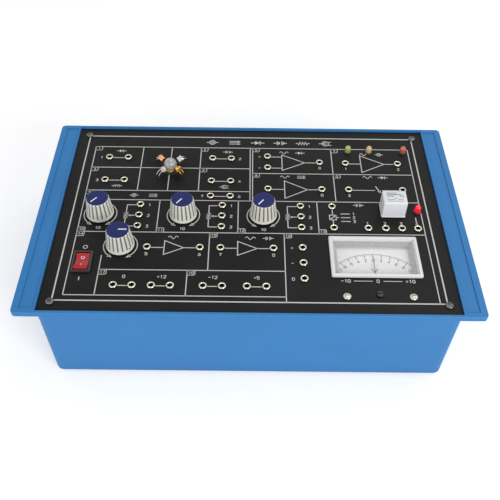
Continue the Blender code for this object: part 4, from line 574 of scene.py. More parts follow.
def round_rect(half_x: float, half_y: float, radius: float, z: float, centre: Flat = (0.0, 0.0),
               steps: int = 6) -> list[Point]:
    """Return the points of a level rectangle with round corners.

    Args:
        half_x: Half its length along X.
        half_y: Half its length along Y.
        radius: Radius of its corners.
        z: Its height.
        centre: Its middle.
        steps: Steps in each corner.

    Returns:
        The points.
    """
    points = []
    for quarter, (side_x, side_y) in enumerate(((1, 1), (-1, 1), (-1, -1), (1, -1))):
        middle = (centre[0] + side_x * (half_x - radius), centre[1] + side_y * (half_y - radius))
        for step in range(steps + 1):
            turn = TURN / 4 * (quarter + step / steps)
            points.append((middle[0] + radius * cos(turn), middle[1] + radius * sin(turn), z))
    return points


def levels(half: Flat, rows: Iterable[Sequence[float]], centre: Flat) -> list[list[Point]]:
    """Return level rectangles with round corners, one after another.

    Args:
        half: Half sizes that the insets are taken from.
        rows: Inset, corner radius and height of each rectangle.
        centre: Their middle.

    Returns:
        The rings.
    """
    return [round_rect(half[0] - inset, half[1] - inset, radius, z, centre) for inset, radius, z in rows]


def arc(centre: Flat, radius: float, start: float, end: float, steps: int) -> list[Flat]:
    """Return points of an arc between two bearings in degrees from +X.

    Args:
        centre: Its middle.
        radius: Its radius.
        start: First bearing.
        end: Last bearing.
        steps: Steps between them.

    Returns:
        The points.
    """
    turns = [radians(start + (end - start) * i / steps) for i in range(steps + 1)]
    return [(centre[0] + radius * cos(t), centre[1] + radius * sin(t)) for t in turns]


def circle(centre: Flat, radius: float, sides: int = 28) -> list[Flat]:
    """Return the points of a flat circle."""
    return arc(centre, radius, 0.0, 360.0 * (sides - 1) / sides, sides - 1)


def bend(pulls: Sequence[Vector], share: float) -> Vector:
    """Return the place at a share of the smooth bend that four points pull."""
    rest = 1 - share
    return (rest ** 3 * pulls[0] + 3 * rest ** 2 * share * pulls[1] + 3 * rest * share ** 2 * pulls[2]
            + share ** 3 * pulls[3])


class Sketch:
    """A mesh drawn in millimetres, which becomes one piece of the object."""

    def __init__(self) -> None:
        """Start an empty mesh."""
        self.bm = bmesh.new()

    def thread(self, rings: Sequence[Sequence[Point]], closed: bool = False,
               at: Optional[Matrix] = None) -> None:
        """Skin a row of rings and cap the open ends.

        Args:
            rings: Rings of points; a ring of one point is a tip.
            closed: Whether the last ring joins the first.
            at: Where to put it.
        """
        rows = []
        for ring in rings:
            places = [at @ Vector(p) for p in ring] if at else ring
            rows.append([self.bm.verts.new(p) for p in places])
        for low, high in zip(rows, rows[1:] + (rows[:1] if closed else [])):
            count = max(len(low), len(high))
            for i in range(count):
                corners = [low[i % len(low)], low[(i + 1) % len(low)],
                           high[(i + 1) % len(high)], high[i % len(high)]]
                face = list(dict.fromkeys(corners))
                if len(face) > 2:
                    self.bm.faces.new(face)
        if not closed:
            for end in (rows[0], rows[-1]):
                if len(end) > 2:
                    self.bm.faces.new(end)

    def turned(self, profile: Sequence[Flat], sides: int, centre: Flat = (0.0, 0.0), closed: bool = False,
               at: Optional[Matrix] = None) -> None:
        """Turn a profile of (radius, height) round an upright axis."""
        self.thread([disc(radius, z, sides, centre) for radius, z in profile], closed, at)

    def block(self, low: Point, high: Point, at: Optional[Matrix] = None) -> None:
        """Add a box between two corners."""
        corners = [(low[0], low[1]), (high[0], low[1]), (high[0], high[1]), (low[0], high[1])]
        self.thread([[(x, y, z) for x, y in corners] for z in (low[2], high[2])], at=at)

    def prism(self, outline: Sequence[Flat], low: float, high: float, at: Optional[Matrix] = None) -> None:
        """Raise a flat outline between two heights."""
        self.thread([[(x, y, z) for x, y in outline] for z in (low, high)], at=at)

    def stroke(self, points: Sequence[Flat], width: float, low: float, high: float, closed: bool = False,
               at: Optional[Matrix] = None) -> None:
        """Lay a flat line, mitred at its bends.

        Args:
            points: The line's points.
            width: Its width.
            low: Height of its underside.
            high: Height of its face.
            closed: Whether it runs back to its start.
            at: Where to put it.
        """
        rings = []
        last = len(points) - 1
        for i, (x, y) in enumerate(points):
            before = points[i - 1] if i or closed else None
            after = points[(i + 1) % len(points)] if i < last or closed else None
            ways = [Vector((b[0] - a[0], b[1] - a[1])).normalized()
                    for a, b in ((before, (x, y)), ((x, y), after)) if a and b]
            way = sum(ways, Vector((0.0, 0.0))).normalized()
            reach = width / 2 / max(0.45, abs(way.dot(ways[0])))
            off = Vector((-way.y, way.x)) * reach
            rings.append([(x + off.x, y + off.y, low), (x - off.x, y - off.y, low),
                          (x - off.x, y - off.y, high), (x + off.x, y + off.y, high)])
        self.thread(rings, closed, at)

    def tube(self, points: Sequence[Point], radius: float, sides: int = 10) -> None:
        """Run a round rod along points.

        Args:
            points: The rod's middle line.
            radius: Its radius.
            sides: Its sides.
        """
        line = [Vector(p) for p in points]
        side = None
        rings = []
        for i, point in enumerate(line):
            along = (line[min(i + 1, len(line) - 1)] - line[max(i - 1, 0)]).normalized()
            if side is None:
                side = along.orthogonal().normalized()
            side = (side - along * side.dot(along)).normalized()
            up = along.cross(side)
            rings.append([point + radius * (side * cos(TURN * k / sides) + up * sin(TURN * k / sides))
                          for k in range(sides)])
        self.thread(rings)

    def piece(self, name: str, finish: Finish, slot: Optional[str] = None, replaces: Iterable[str] = (),
              body: Body = Body.CASE, bevel: float = 0.0, sharp: float = 35.0) -> bpy.types.Object:
        """Make the object and hang it on its body.

        Args:
            name: The piece's name.
            finish: What covers it.
            slot: The record's material slot; not used.
            replaces: CAD nodes that it stands for.
            body: The body it rides on.
            bevel: Radius of its softened edges.
            sharp: Smallest angle of an edge that stays sharp, in degrees.

        Returns:
            The object.
        """
        bmesh.ops.recalc_face_normals(self.bm, faces=self.bm.faces)
        for edge in self.bm.edges:
            edge.smooth = not (edge.is_manifold and edge.calc_face_angle() > radians(sharp))
        for face in self.bm.faces:
            face.smooth = True
        self.bm.transform(Matrix.Scale(MM, 4))
        mesh = bpy.data.meshes.new(name)
        self.bm.to_mesh(mesh)
        self.bm.free()
        mesh.materials.append(finish.material())
        made = bpy.data.objects.new(name, mesh)
        bpy.context.scene.collection.objects.link(made)
        if bevel:
            soften(made, bevel)
        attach(made, body.value)
        if replaces:
            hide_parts(*replaces)
        log.info("%s: %d faces", name, len(mesh.polygons))
        return made


def soften(thing: bpy.types.Object, radius: float, segments: int = 3) -> None:
    """Round the edges of an object by a modifier.

    Args:
        thing: The object.
        radius: Radius of its edges.
        segments: Steps round an edge.
    """
    bevel = thing.modifiers.new("soft_edges", "BEVEL")
    bevel.width = radius * MM
    bevel.segments = segments
    bevel.limit_method = "ANGLE"
    bevel.angle_limit = radians(32.0)
    bevel.harden_normals = True


def carve(target: bpy.types.Object, cutter: Sketch) -> None:
    """Cut a sketch out of an object and keep the result as its mesh.

    Args:
        target: The object.
        cutter: What is cut away.
    """
    bmesh.ops.recalc_face_normals(cutter.bm, faces=cutter.bm.faces)
    cutter.bm.transform(Matrix.Scale(MM, 4))
    mesh = bpy.data.meshes.new("cutter")
    cutter.bm.to_mesh(mesh)
    cutter.bm.free()
    tool = bpy.data.objects.new("cutter", mesh)
    bpy.context.scene.collection.objects.link(tool)
    cut = target.modifiers.new("cut", "BOOLEAN")
    cut.object = tool
    cut.solver = "EXACT"
    bpy.context.view_layer.update()
    shape = target.evaluated_get(bpy.context.evaluated_depsgraph_get())
    made = bpy.data.meshes.new_from_object(shape)
    target.modifiers.remove(cut)
    old = target.data
    target.data = made
    bpy.data.meshes.remove(old)
    bpy.data.objects.remove(tool)
    bpy.data.meshes.remove(mesh)


def box(node: str) -> tuple[Vector, Vector]:
    """Return a CAD node's lowest and highest corner in millimetres."""
    low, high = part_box(node)
    return low / MM, high / MM


def footprint(node: str) -> tuple[Flat, Flat]:
    """Return a CAD node's middle and half sizes, seen from above."""
    low, high = box(node)
    return ((low.x + high.x) / 2, (low.y + high.y) / 2), ((high.x - low.x) / 2, (high.y - low.y) / 2)


def middle(node: str) -> Vector:
    """Return the middle of a CAD node in millimetres."""
    low, high = box(node)
    return (low + high) / 2


def cover(node: str, finish: Finish) -> None:
    """Give a CAD node that stays its finish.

    Args:
        node: The node.
        finish: Its finish.
    """
    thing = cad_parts[node]
    thing.data.materials.clear()
    thing.data.materials.append(finish.material())
    log.info("%s: finish %s", node, finish.name)


@dataclass
class PanelPlan:
    """Where the panel's columns and rows lie."""

    top: float = field(default_factory=lambda: round(box("front_panel")[1].z, 3))
    lift: float = 0.3
    meter_x: float = 95.0
    sensors_left: Flat = (-122.2, -106.0)
    sensors_right: Flat = (-33.0, -16.8)
    sensor_rows: tuple[float, ...] = (63.8, 35.2, 17.0)
    comparator: tuple[Flat, ...] = ((14.5, 67.0), (14.5, 52.6), (59.2, 59.8))
    current: tuple[Flat, ...] = ((14.5, 26.2), (59.2, 26.2))
    power: tuple[Flat, ...] = ((81.6, 59.1), (126.5, 59.1))
    switch: tuple[Flat, ...] = ((81.6, 26.2), (126.5, 26.2))
    pots: tuple[float, ...] = (-89.3, -22.9, 40.5)
    pot_rows: tuple[float, ...] = (6.1, -5.8, -17.7)
    coil: tuple[Flat, ...] = ((66.2, 6.1), (66.2, -17.7))
    contacts: tuple[float, ...] = (93.4, 107.2, 120.1, 132.7)
    amplifiers: tuple[float, ...] = (-79.5, -38.8, -22.9, 17.9)
    amplifier_row: float = -40.1
    supplies: tuple[float, ...] = (-100.6, -86.9, -72.7, -58.8, -34.7, -20.6, -2.3, 12.0)
    supply_row: float = -77.9
    meter_column: float = 40.4
    meter_rows: tuple[float, ...] = (-39.2, -54.6, -70.0)

    @property
    def seat(self) -> float:
        """Return the height at which fittings rest on the panel."""
        return self.top + self.lift

    def groups(self) -> dict[str, list[Flat]]:
        """Return the patch sockets of each strip."""
        contact_row = self.pot_rows[-1]
        return {
            "left_sensors": [(x, y) for y in self.sensor_rows[:2] for x in self.sensors_left],
            "right_sensors": [(x, y) for y in self.sensor_rows for x in self.sensors_right],
            "rear_blocks": [*self.comparator, *self.current, *self.power, *self.switch],
            "pots": [(x, y) for x in self.pots for y in self.pot_rows],
            "relay": [*self.coil, *((x, contact_row) for x in self.contacts)],
            "front_blocks": [(x, self.amplifier_row) for x in self.amplifiers]
            + [(x, self.supply_row) for x in self.supplies],
            "meter": [(self.meter_column, y) for y in self.meter_rows],
        }


PLAN = PanelPlan()


@dataclass
class CaseShell:
    """The moulded case with its feet, panel plate and screws."""

    screw_radius: float = 3.1
    screw_rise: float = 1.6
    recess_width: float = 0.8
    recess_reach: float = 1.9
    recess_depth: float = 0.9

    def build(self) -> None:
        """Dress the case and build its screws."""
        cover("case_tub", BLUE)
        cover("front_panel", PANEL_BLACK)
        for number in range(1, 5):
            cover(f"foot_{number}", RUBBER)
        for number in range(1, 5):
            self.screw(f"panel_screw_{number}", radians(22.0 + 37.0 * number), SCREW_DARK)

    def screw(self, node: str, turn: float, finish: Finish) -> None:
        """Build one dome-headed cross screw in place of a CAD screw.

        Args:
            node: The CAD screw.
            turn: How far its recess is turned.
            finish: Its plating.
        """
        low, high = box(node)
        centre, _ = footprint(node)
        crown = high.z
        seat = crown - self.screw_rise
        dome = [(self.screw_radius * cos(t), seat + 0.45 + (self.screw_rise - 0.45) * sin(t))
                for t in (TURN / 4 * i / 8 for i in range(8))]
        head = Sketch()
        head.turned([(0, low.z), (1.1, low.z), (1.5, low.z + 0.8), (1.5, seat), (self.screw_radius - 0.1, seat),
                     *dome, (0, crown)], 32, centre)
        made = head.piece(node + "_head", finish, "screw_steel", [node], sharp=50.0)
        cross = Sketch()
        at = Matrix.Translation((*centre, 0.0)) @ Matrix.Rotation(turn, 4, "Z")
        half = self.recess_width / 2
        reach = self.recess_reach
        outline = [(half, half), (half, reach), (-half, reach), (-half, half), (-reach, half), (-reach, -half),
                   (-half, -half), (-half, -reach), (half, -reach), (half, -half), (reach, -half), (reach, half)]
        cross.prism(outline, crown - self.recess_depth, crown + 1.0, at)
        carve(made, cross)


@dataclass
class PatchSockets:
    """Every patch socket with the strip it is soldered to."""

    collar: float = 3.25
    rise: float = 1.4
    mouth: float = 1.85
    bore: float = 1.05
    depth: float = 9.0
    stem: float = 2.1
    margin: float = 4.0
    strip_drop: float = 11.0
    strip_thickness: float = 1.6
    sides: int = 28

    def outline(self, name: str, places: Sequence[Flat]) -> list[Flat]:
        """Return the outline of a group's strip.

        Args:
            name: The group.
            places: Its sockets.

        Returns:
            The outline.
        """
        m = self.margin
        if name == "pots":
            front, back = PLAN.pot_rows[-1] - m, PLAN.pot_rows[-1] + 0.5
            tip = PLAN.pot_rows[0] + m
            points = [(PLAN.pots[0] - m, front), (PLAN.pots[-1] + m, front)]
            for x in reversed(PLAN.pots):
                points += [(x + m, back), (x + m, tip), (x - m, tip), (x - m, back)]
            return points[:2] + points[3:-1]
        xs, ys = [x for x, _ in places], [y for _, y in places]
        left, right, front, back = min(xs) - m, max(xs) + m, min(ys) - m, max(ys) + m
        if name == "front_blocks":
            step, inner = PLAN.supply_row + m, PLAN.amplifiers[0] - m
            return [(left, front), (right, front), (right, back), (inner, back), (inner, step), (left, step)]
        return [(left, front), (right, front), (right, back), (left, back)]

    def build(self) -> None:
        """Build the sockets group by group."""
        seat = PLAN.seat
        crown = seat + self.rise
        strip_high = PLAN.top - self.strip_drop
        strip_low = strip_high - self.strip_thickness
        bottom = (strip_low + strip_high) / 2
        outer = self.collar
        profile = [(0, bottom), (self.stem, bottom), (self.stem, seat), (outer - 0.2, seat), (outer, seat + 0.3),
                   (outer - 0.03, seat + 0.65), (outer - 0.25, crown - 0.3), (outer - 0.55, crown - 0.07),
                   (outer - 0.8, crown), (self.mouth + 0.25, crown - 0.08), (self.mouth + 0.03, crown - 0.35),
                   (self.mouth, crown - 0.8), (self.mouth, crown - self.depth), (0, crown - self.depth)]
        # the bore lining is a painted shade: a near-black sleeve inside the metal, where the bore is only in shadow
        sleeve = self.mouth - 0.03
        shade_lining = [(self.bore, crown - self.depth + 0.1), (self.bore, crown - 1.7), (self.bore + 0.2, crown - 1.4),
                  (sleeve, crown - 0.9), (sleeve, crown - self.depth + 0.1)]
        for name, places in PLAN.groups().items():
            strip = Sketch()
            strip.prism(self.outline(name, places), strip_low, strip_high)
            strip.piece(f"strip_{name}", STRIP_BROWN)
            metal = Sketch()
            for place in places:
                metal.turned(profile, self.sides, place)
            metal.piece(f"socket_metal_{name}", SOCKET_METAL, "socket_metal", [f"sockets_{name}"])
            # painted shade sleeves in every bore of the group
            shade_wells = Sketch()
            for place in places:
                shade_wells.turned(shade_lining, 24, place, True)
            shade_wells.piece(f"socket_shade_well_{name}", BORE_SHADE_BLACK)


GLYPHS: dict[str, tuple[tuple[bool, tuple[Flat, ...]], ...]] = {
    "0": ((True, ((1, 0), (3, 0), (4, 1), (4, 5), (3, 6), (1, 6), (0, 5), (0, 1))),),
    "1": ((False, ((0.8, 5), (2.2, 6), (2.2, 0))),),
    "2": ((False, ((0, 5), (1, 6), (3, 6), (4, 5), (4, 4), (0, 0), (4, 0))),),
    "3": ((False, ((0, 6), (4, 6), (2, 3.6), (3, 3.4), (4, 2.5), (4, 1), (3, 0), (1, 0), (0, 1))),),
    "4": ((False, ((3, 0), (3, 6), (0, 2), (4.3, 2))),),
    "5": ((False, ((4, 6), (0, 6), (0, 3.6), (3, 3.6), (4, 2.6), (4, 1), (3, 0), (1, 0), (0, 1))),),
    "6": ((False, ((3.6, 6), (1.4, 5.4), (0, 3), (0, 1), (1, 0), (3, 0), (4, 1), (4, 2.5), (3, 3.5), (1, 3.5),
                   (0, 2.5))),),
    "7": ((False, ((0, 6), (4, 6), (1.5, 0))),),
    "8": ((True, ((1, 3.2), (0, 4.2), (0, 5), (1, 6), (3, 6), (4, 5), (4, 4.2), (3, 3.2))),
          (True, ((1, 3.2), (0, 2.2), (0, 1), (1, 0), (3, 0), (4, 1), (4, 2.2), (3, 3.2)))),
    "9": ((False, ((0.4, 0), (2.6, 0.6), (4, 3), (4, 5), (3, 6), (1, 6), (0, 5), (0, 3.5), (1, 2.5), (3, 2.5),
                   (4, 3.5))),),
    "+": ((False, ((0, 3), (4, 3))), (False, ((2, 1), (2, 5)))),
    "-": ((False, ((0, 3), (4, 3))),),
}
GLYPH_CELL = (4.0, 6.0)
GLYPH_GAP = 1.6


class Sign(Enum):
    """The circuit signs of the print."""

    LAMP = "lamp"
    BEAM = "beam"
    DIODE = "diode"
    WAVE = "wave"
    CELL = "cell"
    RESISTOR = "resistor"
    TRANSISTOR = "transistor"


@dataclass(frozen=True)
class Mark:
    """One line or filled shape of a sign, about the sign's middle."""

    points: Sequence[Flat]
    share: float = 1.0
    closed: bool = False
    filled: bool = False


SIGN_MARKS: dict[Sign, list[Mark]] = {
    Sign.LAMP: [Mark(circle((0, 0), 2.5), closed=True), Mark([(-1.75, -1.75), (1.75, 1.75)]),
                Mark([(-1.75, 1.75), (1.75, -1.75)]), Mark([(-5.1, 0), (-2.5, 0)]), Mark([(2.5, 0), (5.1, 0)])],
    Sign.BEAM: [mark for y in (-1.9, 0.0, 1.9)
                for mark in (Mark([(-5, y), (2.4, y)], 0.8),
                             Mark([(5, y), (2.2, y + 0.85), (2.2, y - 0.85)], filled=True))],
    Sign.DIODE: [Mark([(-2.4, 2.4), (-2.4, -2.4), (2, 0)], filled=True), Mark([(2.2, 2.6), (2.2, -2.6)]),
                 Mark([(-6, 0), (-2.4, 0)]), Mark([(2.2, 0), (6, 0)])],
    Sign.WAVE: [Mark([((i - 12) * 0.45, 2.0 * sin(TURN * 1.5 * i / 24)) for i in range(25)])],
    Sign.CELL: [Mark([(-2.4, -2.6), (-2.4, 2.6)]), Mark([(-0.9, -1.4), (-0.9, 1.4)], 1.6),
                Mark([(1.6, -2.6), (1.6, 2.6)]), Mark([(3.1, -1.4), (3.1, 1.4)], 1.6),
                Mark([(-6, 0), (-2.4, 0)]), Mark([(3.2, 0), (6, 0)])],
    Sign.RESISTOR: [Mark([(-6.2, 0), (-4.2, 0), *((-3.6 + i * 1.2, 1.9 if i % 2 else -1.9) for i in range(7)),
                          (4.2, 0), (6.2, 0)], 0.9)],
    Sign.TRANSISTOR: [Mark(circle((0, 0), 2.9), 0.9, closed=True), Mark([(-0.9, -1.7), (-0.9, 1.7)]),
                      Mark([(-5.6, 0), (-0.9, 0)]), Mark([(-0.9, 0.7), (2, 2.1), (5.4, 2.1)], 0.8),
                      Mark([(-0.9, -0.7), (2, -2.1), (5.4, -2.1)], 0.8)],
}


@dataclass
class Print:
    """Flat print laid on a face: lines, arrows, numbers and circuit signs."""

    low: float
    high: float
    sketch: Sketch = field(default_factory=Sketch)

    def line(self, points: Sequence[Flat], width: float, closed: bool = False) -> None:
        """Lay one line."""
        self.sketch.stroke(points, width, self.low, self.high, closed)

    def patch(self, outline: Sequence[Flat]) -> None:
        """Lay one filled shape."""
        self.sketch.prism(outline, self.low, self.high)

    def arrow(self, tip: Flat, way: Flat, length: float, width: float) -> None:
        """Lay a filled arrowhead.

        Args:
            tip: Its point.
            way: The direction it points.
            length: Its length.
            width: Its width.
        """
        size = hypot(*way)
        ux, uy = way[0] / size, way[1] / size
        base = (tip[0] - ux * length, tip[1] - uy * length)
        self.patch([tip, (base[0] - uy * width / 2, base[1] + ux * width / 2),
                    (base[0] + uy * width / 2, base[1] - ux * width / 2)])

    def sign(self, sign: Sign, at: Flat, size: float, width: float) -> None:
        """Lay a circuit sign.

        Args:
            sign: Which one.
            at: Its middle.
            size: Its scale.
            width: Width of its lines.
        """
        for mark in SIGN_MARKS[sign]:
            points = [(at[0] + x * size, at[1] + y * size) for x, y in mark.points]
            if mark.filled:
                self.patch(points)
            else:
                self.line(points, width * mark.share, mark.closed)

    def number(self, text: str, centre: Flat, height: float, width: float, turn: float = 0.0) -> None:
        """Lay plain figures.

        Args:
            text: Digits and signs.
            centre: Middle of the figures.
            height: Height of a figure.
            width: Width of its lines.
            turn: Rotation in degrees.
        """
        scale = height / GLYPH_CELL[1]
        step = (GLYPH_CELL[0] + GLYPH_GAP) * scale
        start = -(step * len(text) - GLYPH_GAP * scale) / 2
        c, s = cos(radians(turn)), sin(radians(turn))
        for index, letter in enumerate(text):
            for closed, points in GLYPHS[letter]:
                local = [(start + index * step + x * scale, y * scale - height / 2) for x, y in points]
                self.line([(centre[0] + x * c - y * s, centre[1] + x * s + y * c) for x, y in local], width, closed)

    def boxed(self, text: str, corner: Flat, size: Flat = (5.6, 4.4)) -> None:
        """Lay a block number in a small frame, by its lower left corner.

        Args:
            text: The number.
            corner: The frame's corner.
            size: The frame's size.
        """
        x, y = corner
        w, h = size
        cut = 0.8
        self.line([(x, y), (x + w - cut, y), (x + w, y + cut), (x + w, y + h - cut), (x + w - cut, y + h),
                   (x, y + h)], 0.5, True)
        self.number(text, (x + w / 2, y + h / 2), 2.3, 0.45)

    def amplifier(self, left: Flat, right: Flat, inputs: Sequence[Flat], output: Flat, height: float) -> None:
        """Lay an amplifier triangle with its leads.

        Args:
            left: Middle of the triangle's back.
            right: Its tip.
            inputs: Where its input leads start.
            output: Where its output lead ends.
            height: Height of its back.
        """
        self.line([(left[0], left[1] + height / 2), right, (left[0], left[1] - height / 2)], 0.75, True)
        for x, y in inputs:
            self.line([(x, y), (left[0], y)], 0.75)
        self.line([right, output], 0.75)

    def zigzag(self, x: float, low: float, high: float, reach: float = 1.5, teeth: int = 5) -> None:
        """Lay an upright resistor.

        Args:
            x: Its column.
            low: Its foot.
            high: Its head.
            reach: Half its width.
            teeth: How many teeth.
        """
        step = (high - low) / (2 * teeth)
        points = [(x, low)]
        points += [(x + (reach if i % 2 else -reach), low + step * (i + 0.5)) for i in range(2 * teeth)]
        points.append((x, high))
        self.line(points, 0.6)

    def piece(self, name: str, finish: Finish) -> bpy.types.Object:
        """Make the print one piece."""
        return self.sketch.piece(name, finish, sharp=20.0)


@dataclass
class PanelPrint:
    """The white print on the panel: frames, symbols, plain numbers and knob arcs."""

    fine: float = 0.75
    bold: float = 1.05
    skin: float = 0.05
    collar: float = 3.0
    border: tuple[float, float, float] = (143.0, 92.6, -92.0)
    horizontals: tuple[tuple[float, float, float], ...] = (
        (78.3, -135.9, 137.8), (51.3, -135.9, -0.5), (45.6, 1.6, 137.8), (23.0, -135.9, -0.5),
        (12.0, -135.9, 137.8), (-24.0, -135.9, 137.8), (-62.7, -113.2, 26.5), (-87.0, -135.9, 26.5))
    verticals: tuple[tuple[float, float, float], ...] = (
        (-135.9, 78.3, -87.0), (137.8, 78.3, -92.0), (-94.0, 78.3, 23.0), (-69.0, 78.3, 23.0),
        (-43.4, 78.3, 23.0), (-0.5, 78.3, 12.0), (1.6, 78.3, 12.0), (70.1, 78.3, 12.0), (-74.0, 12.0, -24.0),
        (-9.9, 12.0, -24.0), (54.2, 12.0, -24.0), (-31.8, -24.0, -62.7), (-47.0, -62.7, -87.0),
        (26.5, -24.0, -92.0), (-113.2, -48.5, -87.0))
    boxes: tuple[tuple[str, float, float], ...] = (
        ("1", -135.6, 73.6), ("3", -135.6, 46.6), ("2", -43.1, 73.6), ("4", -43.1, 46.6), ("5", 1.9, 73.6),
        ("7", 70.4, 73.6), ("6", 1.9, 40.9), ("8", 70.4, 40.9), ("9", -135.6, 18.3), ("10", -135.6, -23.7),
        ("11", -73.7, -23.7), ("12", -9.6, -23.7), ("13", 54.5, -23.7), ("14", -135.6, -28.7),
        ("15", -31.5, -28.7), ("16", 26.8, -28.7), ("17", -112.9, -67.4), ("18", -46.7, -67.4))
    arc_radius: float = 13.0
    arc_gap: float = 33.0
    comparator_stage: tuple[float, float, float] = (27.0, 46.6, 20.0)
    current_stage: tuple[float, float, float] = (28.4, 47.4, 21.0)
    power_stage: tuple[float, float, float] = (95.0, 115.0, 21.5)
    front_stage: tuple[float, float, float] = (13.2, 28.2, 14.3)
    contact_ends: Flat = (103.8, 109.4)
    contact_blade: tuple[Flat, Flat] = ((104.6, 5.0), (107.3, -1.2))
    contact_tip: Flat = (108.6, -3.2)
    rail_gap: float = 10.6
    track_half: float = 3.4
    coil_half: float = 2.6
    coil_step: float = 4.2
    heading_row: float = 85.6
    headings: tuple[tuple[Sign, float], ...] = (
        (Sign.LAMP, -34.0), (Sign.BEAM, -14.0), (Sign.DIODE, 6.0), (Sign.CELL, 26.0), (Sign.RESISTOR, 46.0),
        (Sign.TRANSISTOR, 66.0))
    small_signs: tuple[tuple[Sign, float, float], ...] = (
        (Sign.DIODE, -113.0, 72.8), (Sign.RESISTOR, -111.5, 28.6), (Sign.CELL, -20.0, 72.8),
        (Sign.TRANSISTOR, -22.0, 28.4), (Sign.LAMP, -96.0, 17.4), (Sign.BEAM, -80.0, 17.4),
        (Sign.WAVE, 29.0, 72.6), (Sign.DIODE, 43.0, 72.6), (Sign.WAVE, 29.0, 41.4), (Sign.BEAM, 43.0, 41.4),
        (Sign.WAVE, 99.0, 71.6), (Sign.LAMP, 112.0, 71.6), (Sign.WAVE, 99.0, 42.0), (Sign.DIODE, 112.0, 42.0),
        (Sign.CELL, 88.0, 8.4), (Sign.WAVE, -60.0, -29.4), (Sign.WAVE, 0.0, -29.4), (Sign.CELL, 14.0, -29.4))

    def build(self) -> None:
        """Lay the print part by part."""
        for part, lay in (("frames", self.frames), ("symbols", self.symbols), ("numbers", self.numbers),
                          ("knob_arcs", self.arcs), ("signs", self.signs)):
            ink = Print(PLAN.top - 0.01, PLAN.top + self.skin)
            lay(ink)
            ink.piece(f"print_{part}", PANEL_INK)

    def frames(self, ink: Print) -> None:
        """Lay the border and the lines between the blocks.

        Args:
            ink: The print that they join.
        """
        side, rear, front = self.border
        ink.line([(-side, front), (side, front), (side, rear), (-side, rear)], self.bold, True)
        for y, left, right in self.horizontals:
            ink.line([(left, y), (right, y)], self.fine)
        for x, top, bottom in self.verticals:
            ink.line([(x, bottom), (x, top)], self.fine)
        for text, x, y in self.boxes:
            ink.boxed(text, (x, y))

    def symbols(self, ink: Print) -> None:
        """Lay the circuit lines between the sockets.

        Args:
            ink: The print that they join.
        """
        r = self.collar
        for columns, rows in ((PLAN.sensors_left, PLAN.sensor_rows[:2]), (PLAN.sensors_right, PLAN.sensor_rows)):
            for y in rows:
                ink.line([(columns[0] + r, y), (columns[1] - r, y)], self.fine)
        *inputs, output = PLAN.comparator
        self.stage(ink, inputs, output, self.comparator_stage)
        for (start, end), triangle in ((PLAN.current, self.current_stage), (PLAN.power, self.power_stage)):
            self.stage(ink, [start], end, triangle)
        (left, y), (right, _) = PLAN.switch
        ink.line([(left + r, y), (self.contact_ends[0], y)], self.fine)
        ink.line([(x, y + rise) for x, rise in self.contact_blade], self.bold)
        ink.arrow((self.contact_tip[0], y + self.contact_tip[1]), (1.0, -1.5), 3.4, 3.4)
        ink.line([(self.contact_ends[1], y), (right - r, y)], self.fine)
        back, tip, height = self.front_stage
        for start in (0, 2):
            left, right = PLAN.amplifiers[start:start + 2]
            self.stage(ink, [(left, PLAN.amplifier_row)], (right, PLAN.amplifier_row),
                       (left + back, left + tip, height))
        for start in range(0, len(PLAN.supplies), 2):
            ink.line([(PLAN.supplies[start] + r, PLAN.supply_row),
                      (PLAN.supplies[start + 1] - r, PLAN.supply_row)], self.fine)
        top, mid, bottom = PLAN.pot_rows
        half = self.track_half
        for x in PLAN.pots:
            rail = x - self.rail_gap
            for row, end in ((top, mid + half), (bottom, mid - half)):
                ink.line([(x - r, row), (rail, row), (rail, end)], self.fine)
            ink.zigzag(rail, mid - half, mid + half)
            ink.line([(x - r, mid), (rail + 3.6, mid)], self.fine)
            ink.arrow((rail + 1.6, mid), (-1.0, 0.0), 2.4, 2.0)
        self.relay_symbol(ink)

    def stage(self, ink: Print, inputs: Sequence[Flat], output: Flat,
              triangle: tuple[float, float, float]) -> None:
        """Lay an amplifier between its sockets.

        Args:
            ink: The print that it joins.
            inputs: Its input sockets.
            output: Its output socket.
            triangle: The triangle's back, tip and height.
        """
        back, tip, height = triangle
        y = output[1]
        leads = [(x + self.collar, row) for x, row in inputs]
        ink.amplifier((back, y), (tip, y), leads, (output[0] - self.collar, y), height)

    def relay_symbol(self, ink: Print) -> None:
        """Lay the relay's coil and contact lines.

        Args:
            ink: The print that they join.
        """
        (x, top), (_, bottom) = PLAN.coil
        middle_y = (top + bottom) / 2
        half = self.coil_half
        left, right, low, high = x - half, x + half, middle_y - half, middle_y + half
        ink.line([(x, top - self.collar), (x, high)], self.fine)
        ink.line([(x, bottom + self.collar), (x, low)], self.fine)
        ink.line([(left, low), (right, low), (right, high), (left, high)], self.fine, True)
        ink.line([(left, low), (right, high)], self.fine)
        for step, y in enumerate((middle_y + self.coil_step, middle_y, middle_y - self.coil_step)):
            ink.line([(x + 7.2, y), (x + 14.0, y)], self.fine)
            ink.arrow((x + 6.0, y), (-1.0, 0.0), 2.2, 1.8)
            ink.number(str(step + 1), (x + 17.0, y), 2.5, 0.5)
        ink.line([(right, middle_y), (x + 5.0, middle_y)], self.fine)

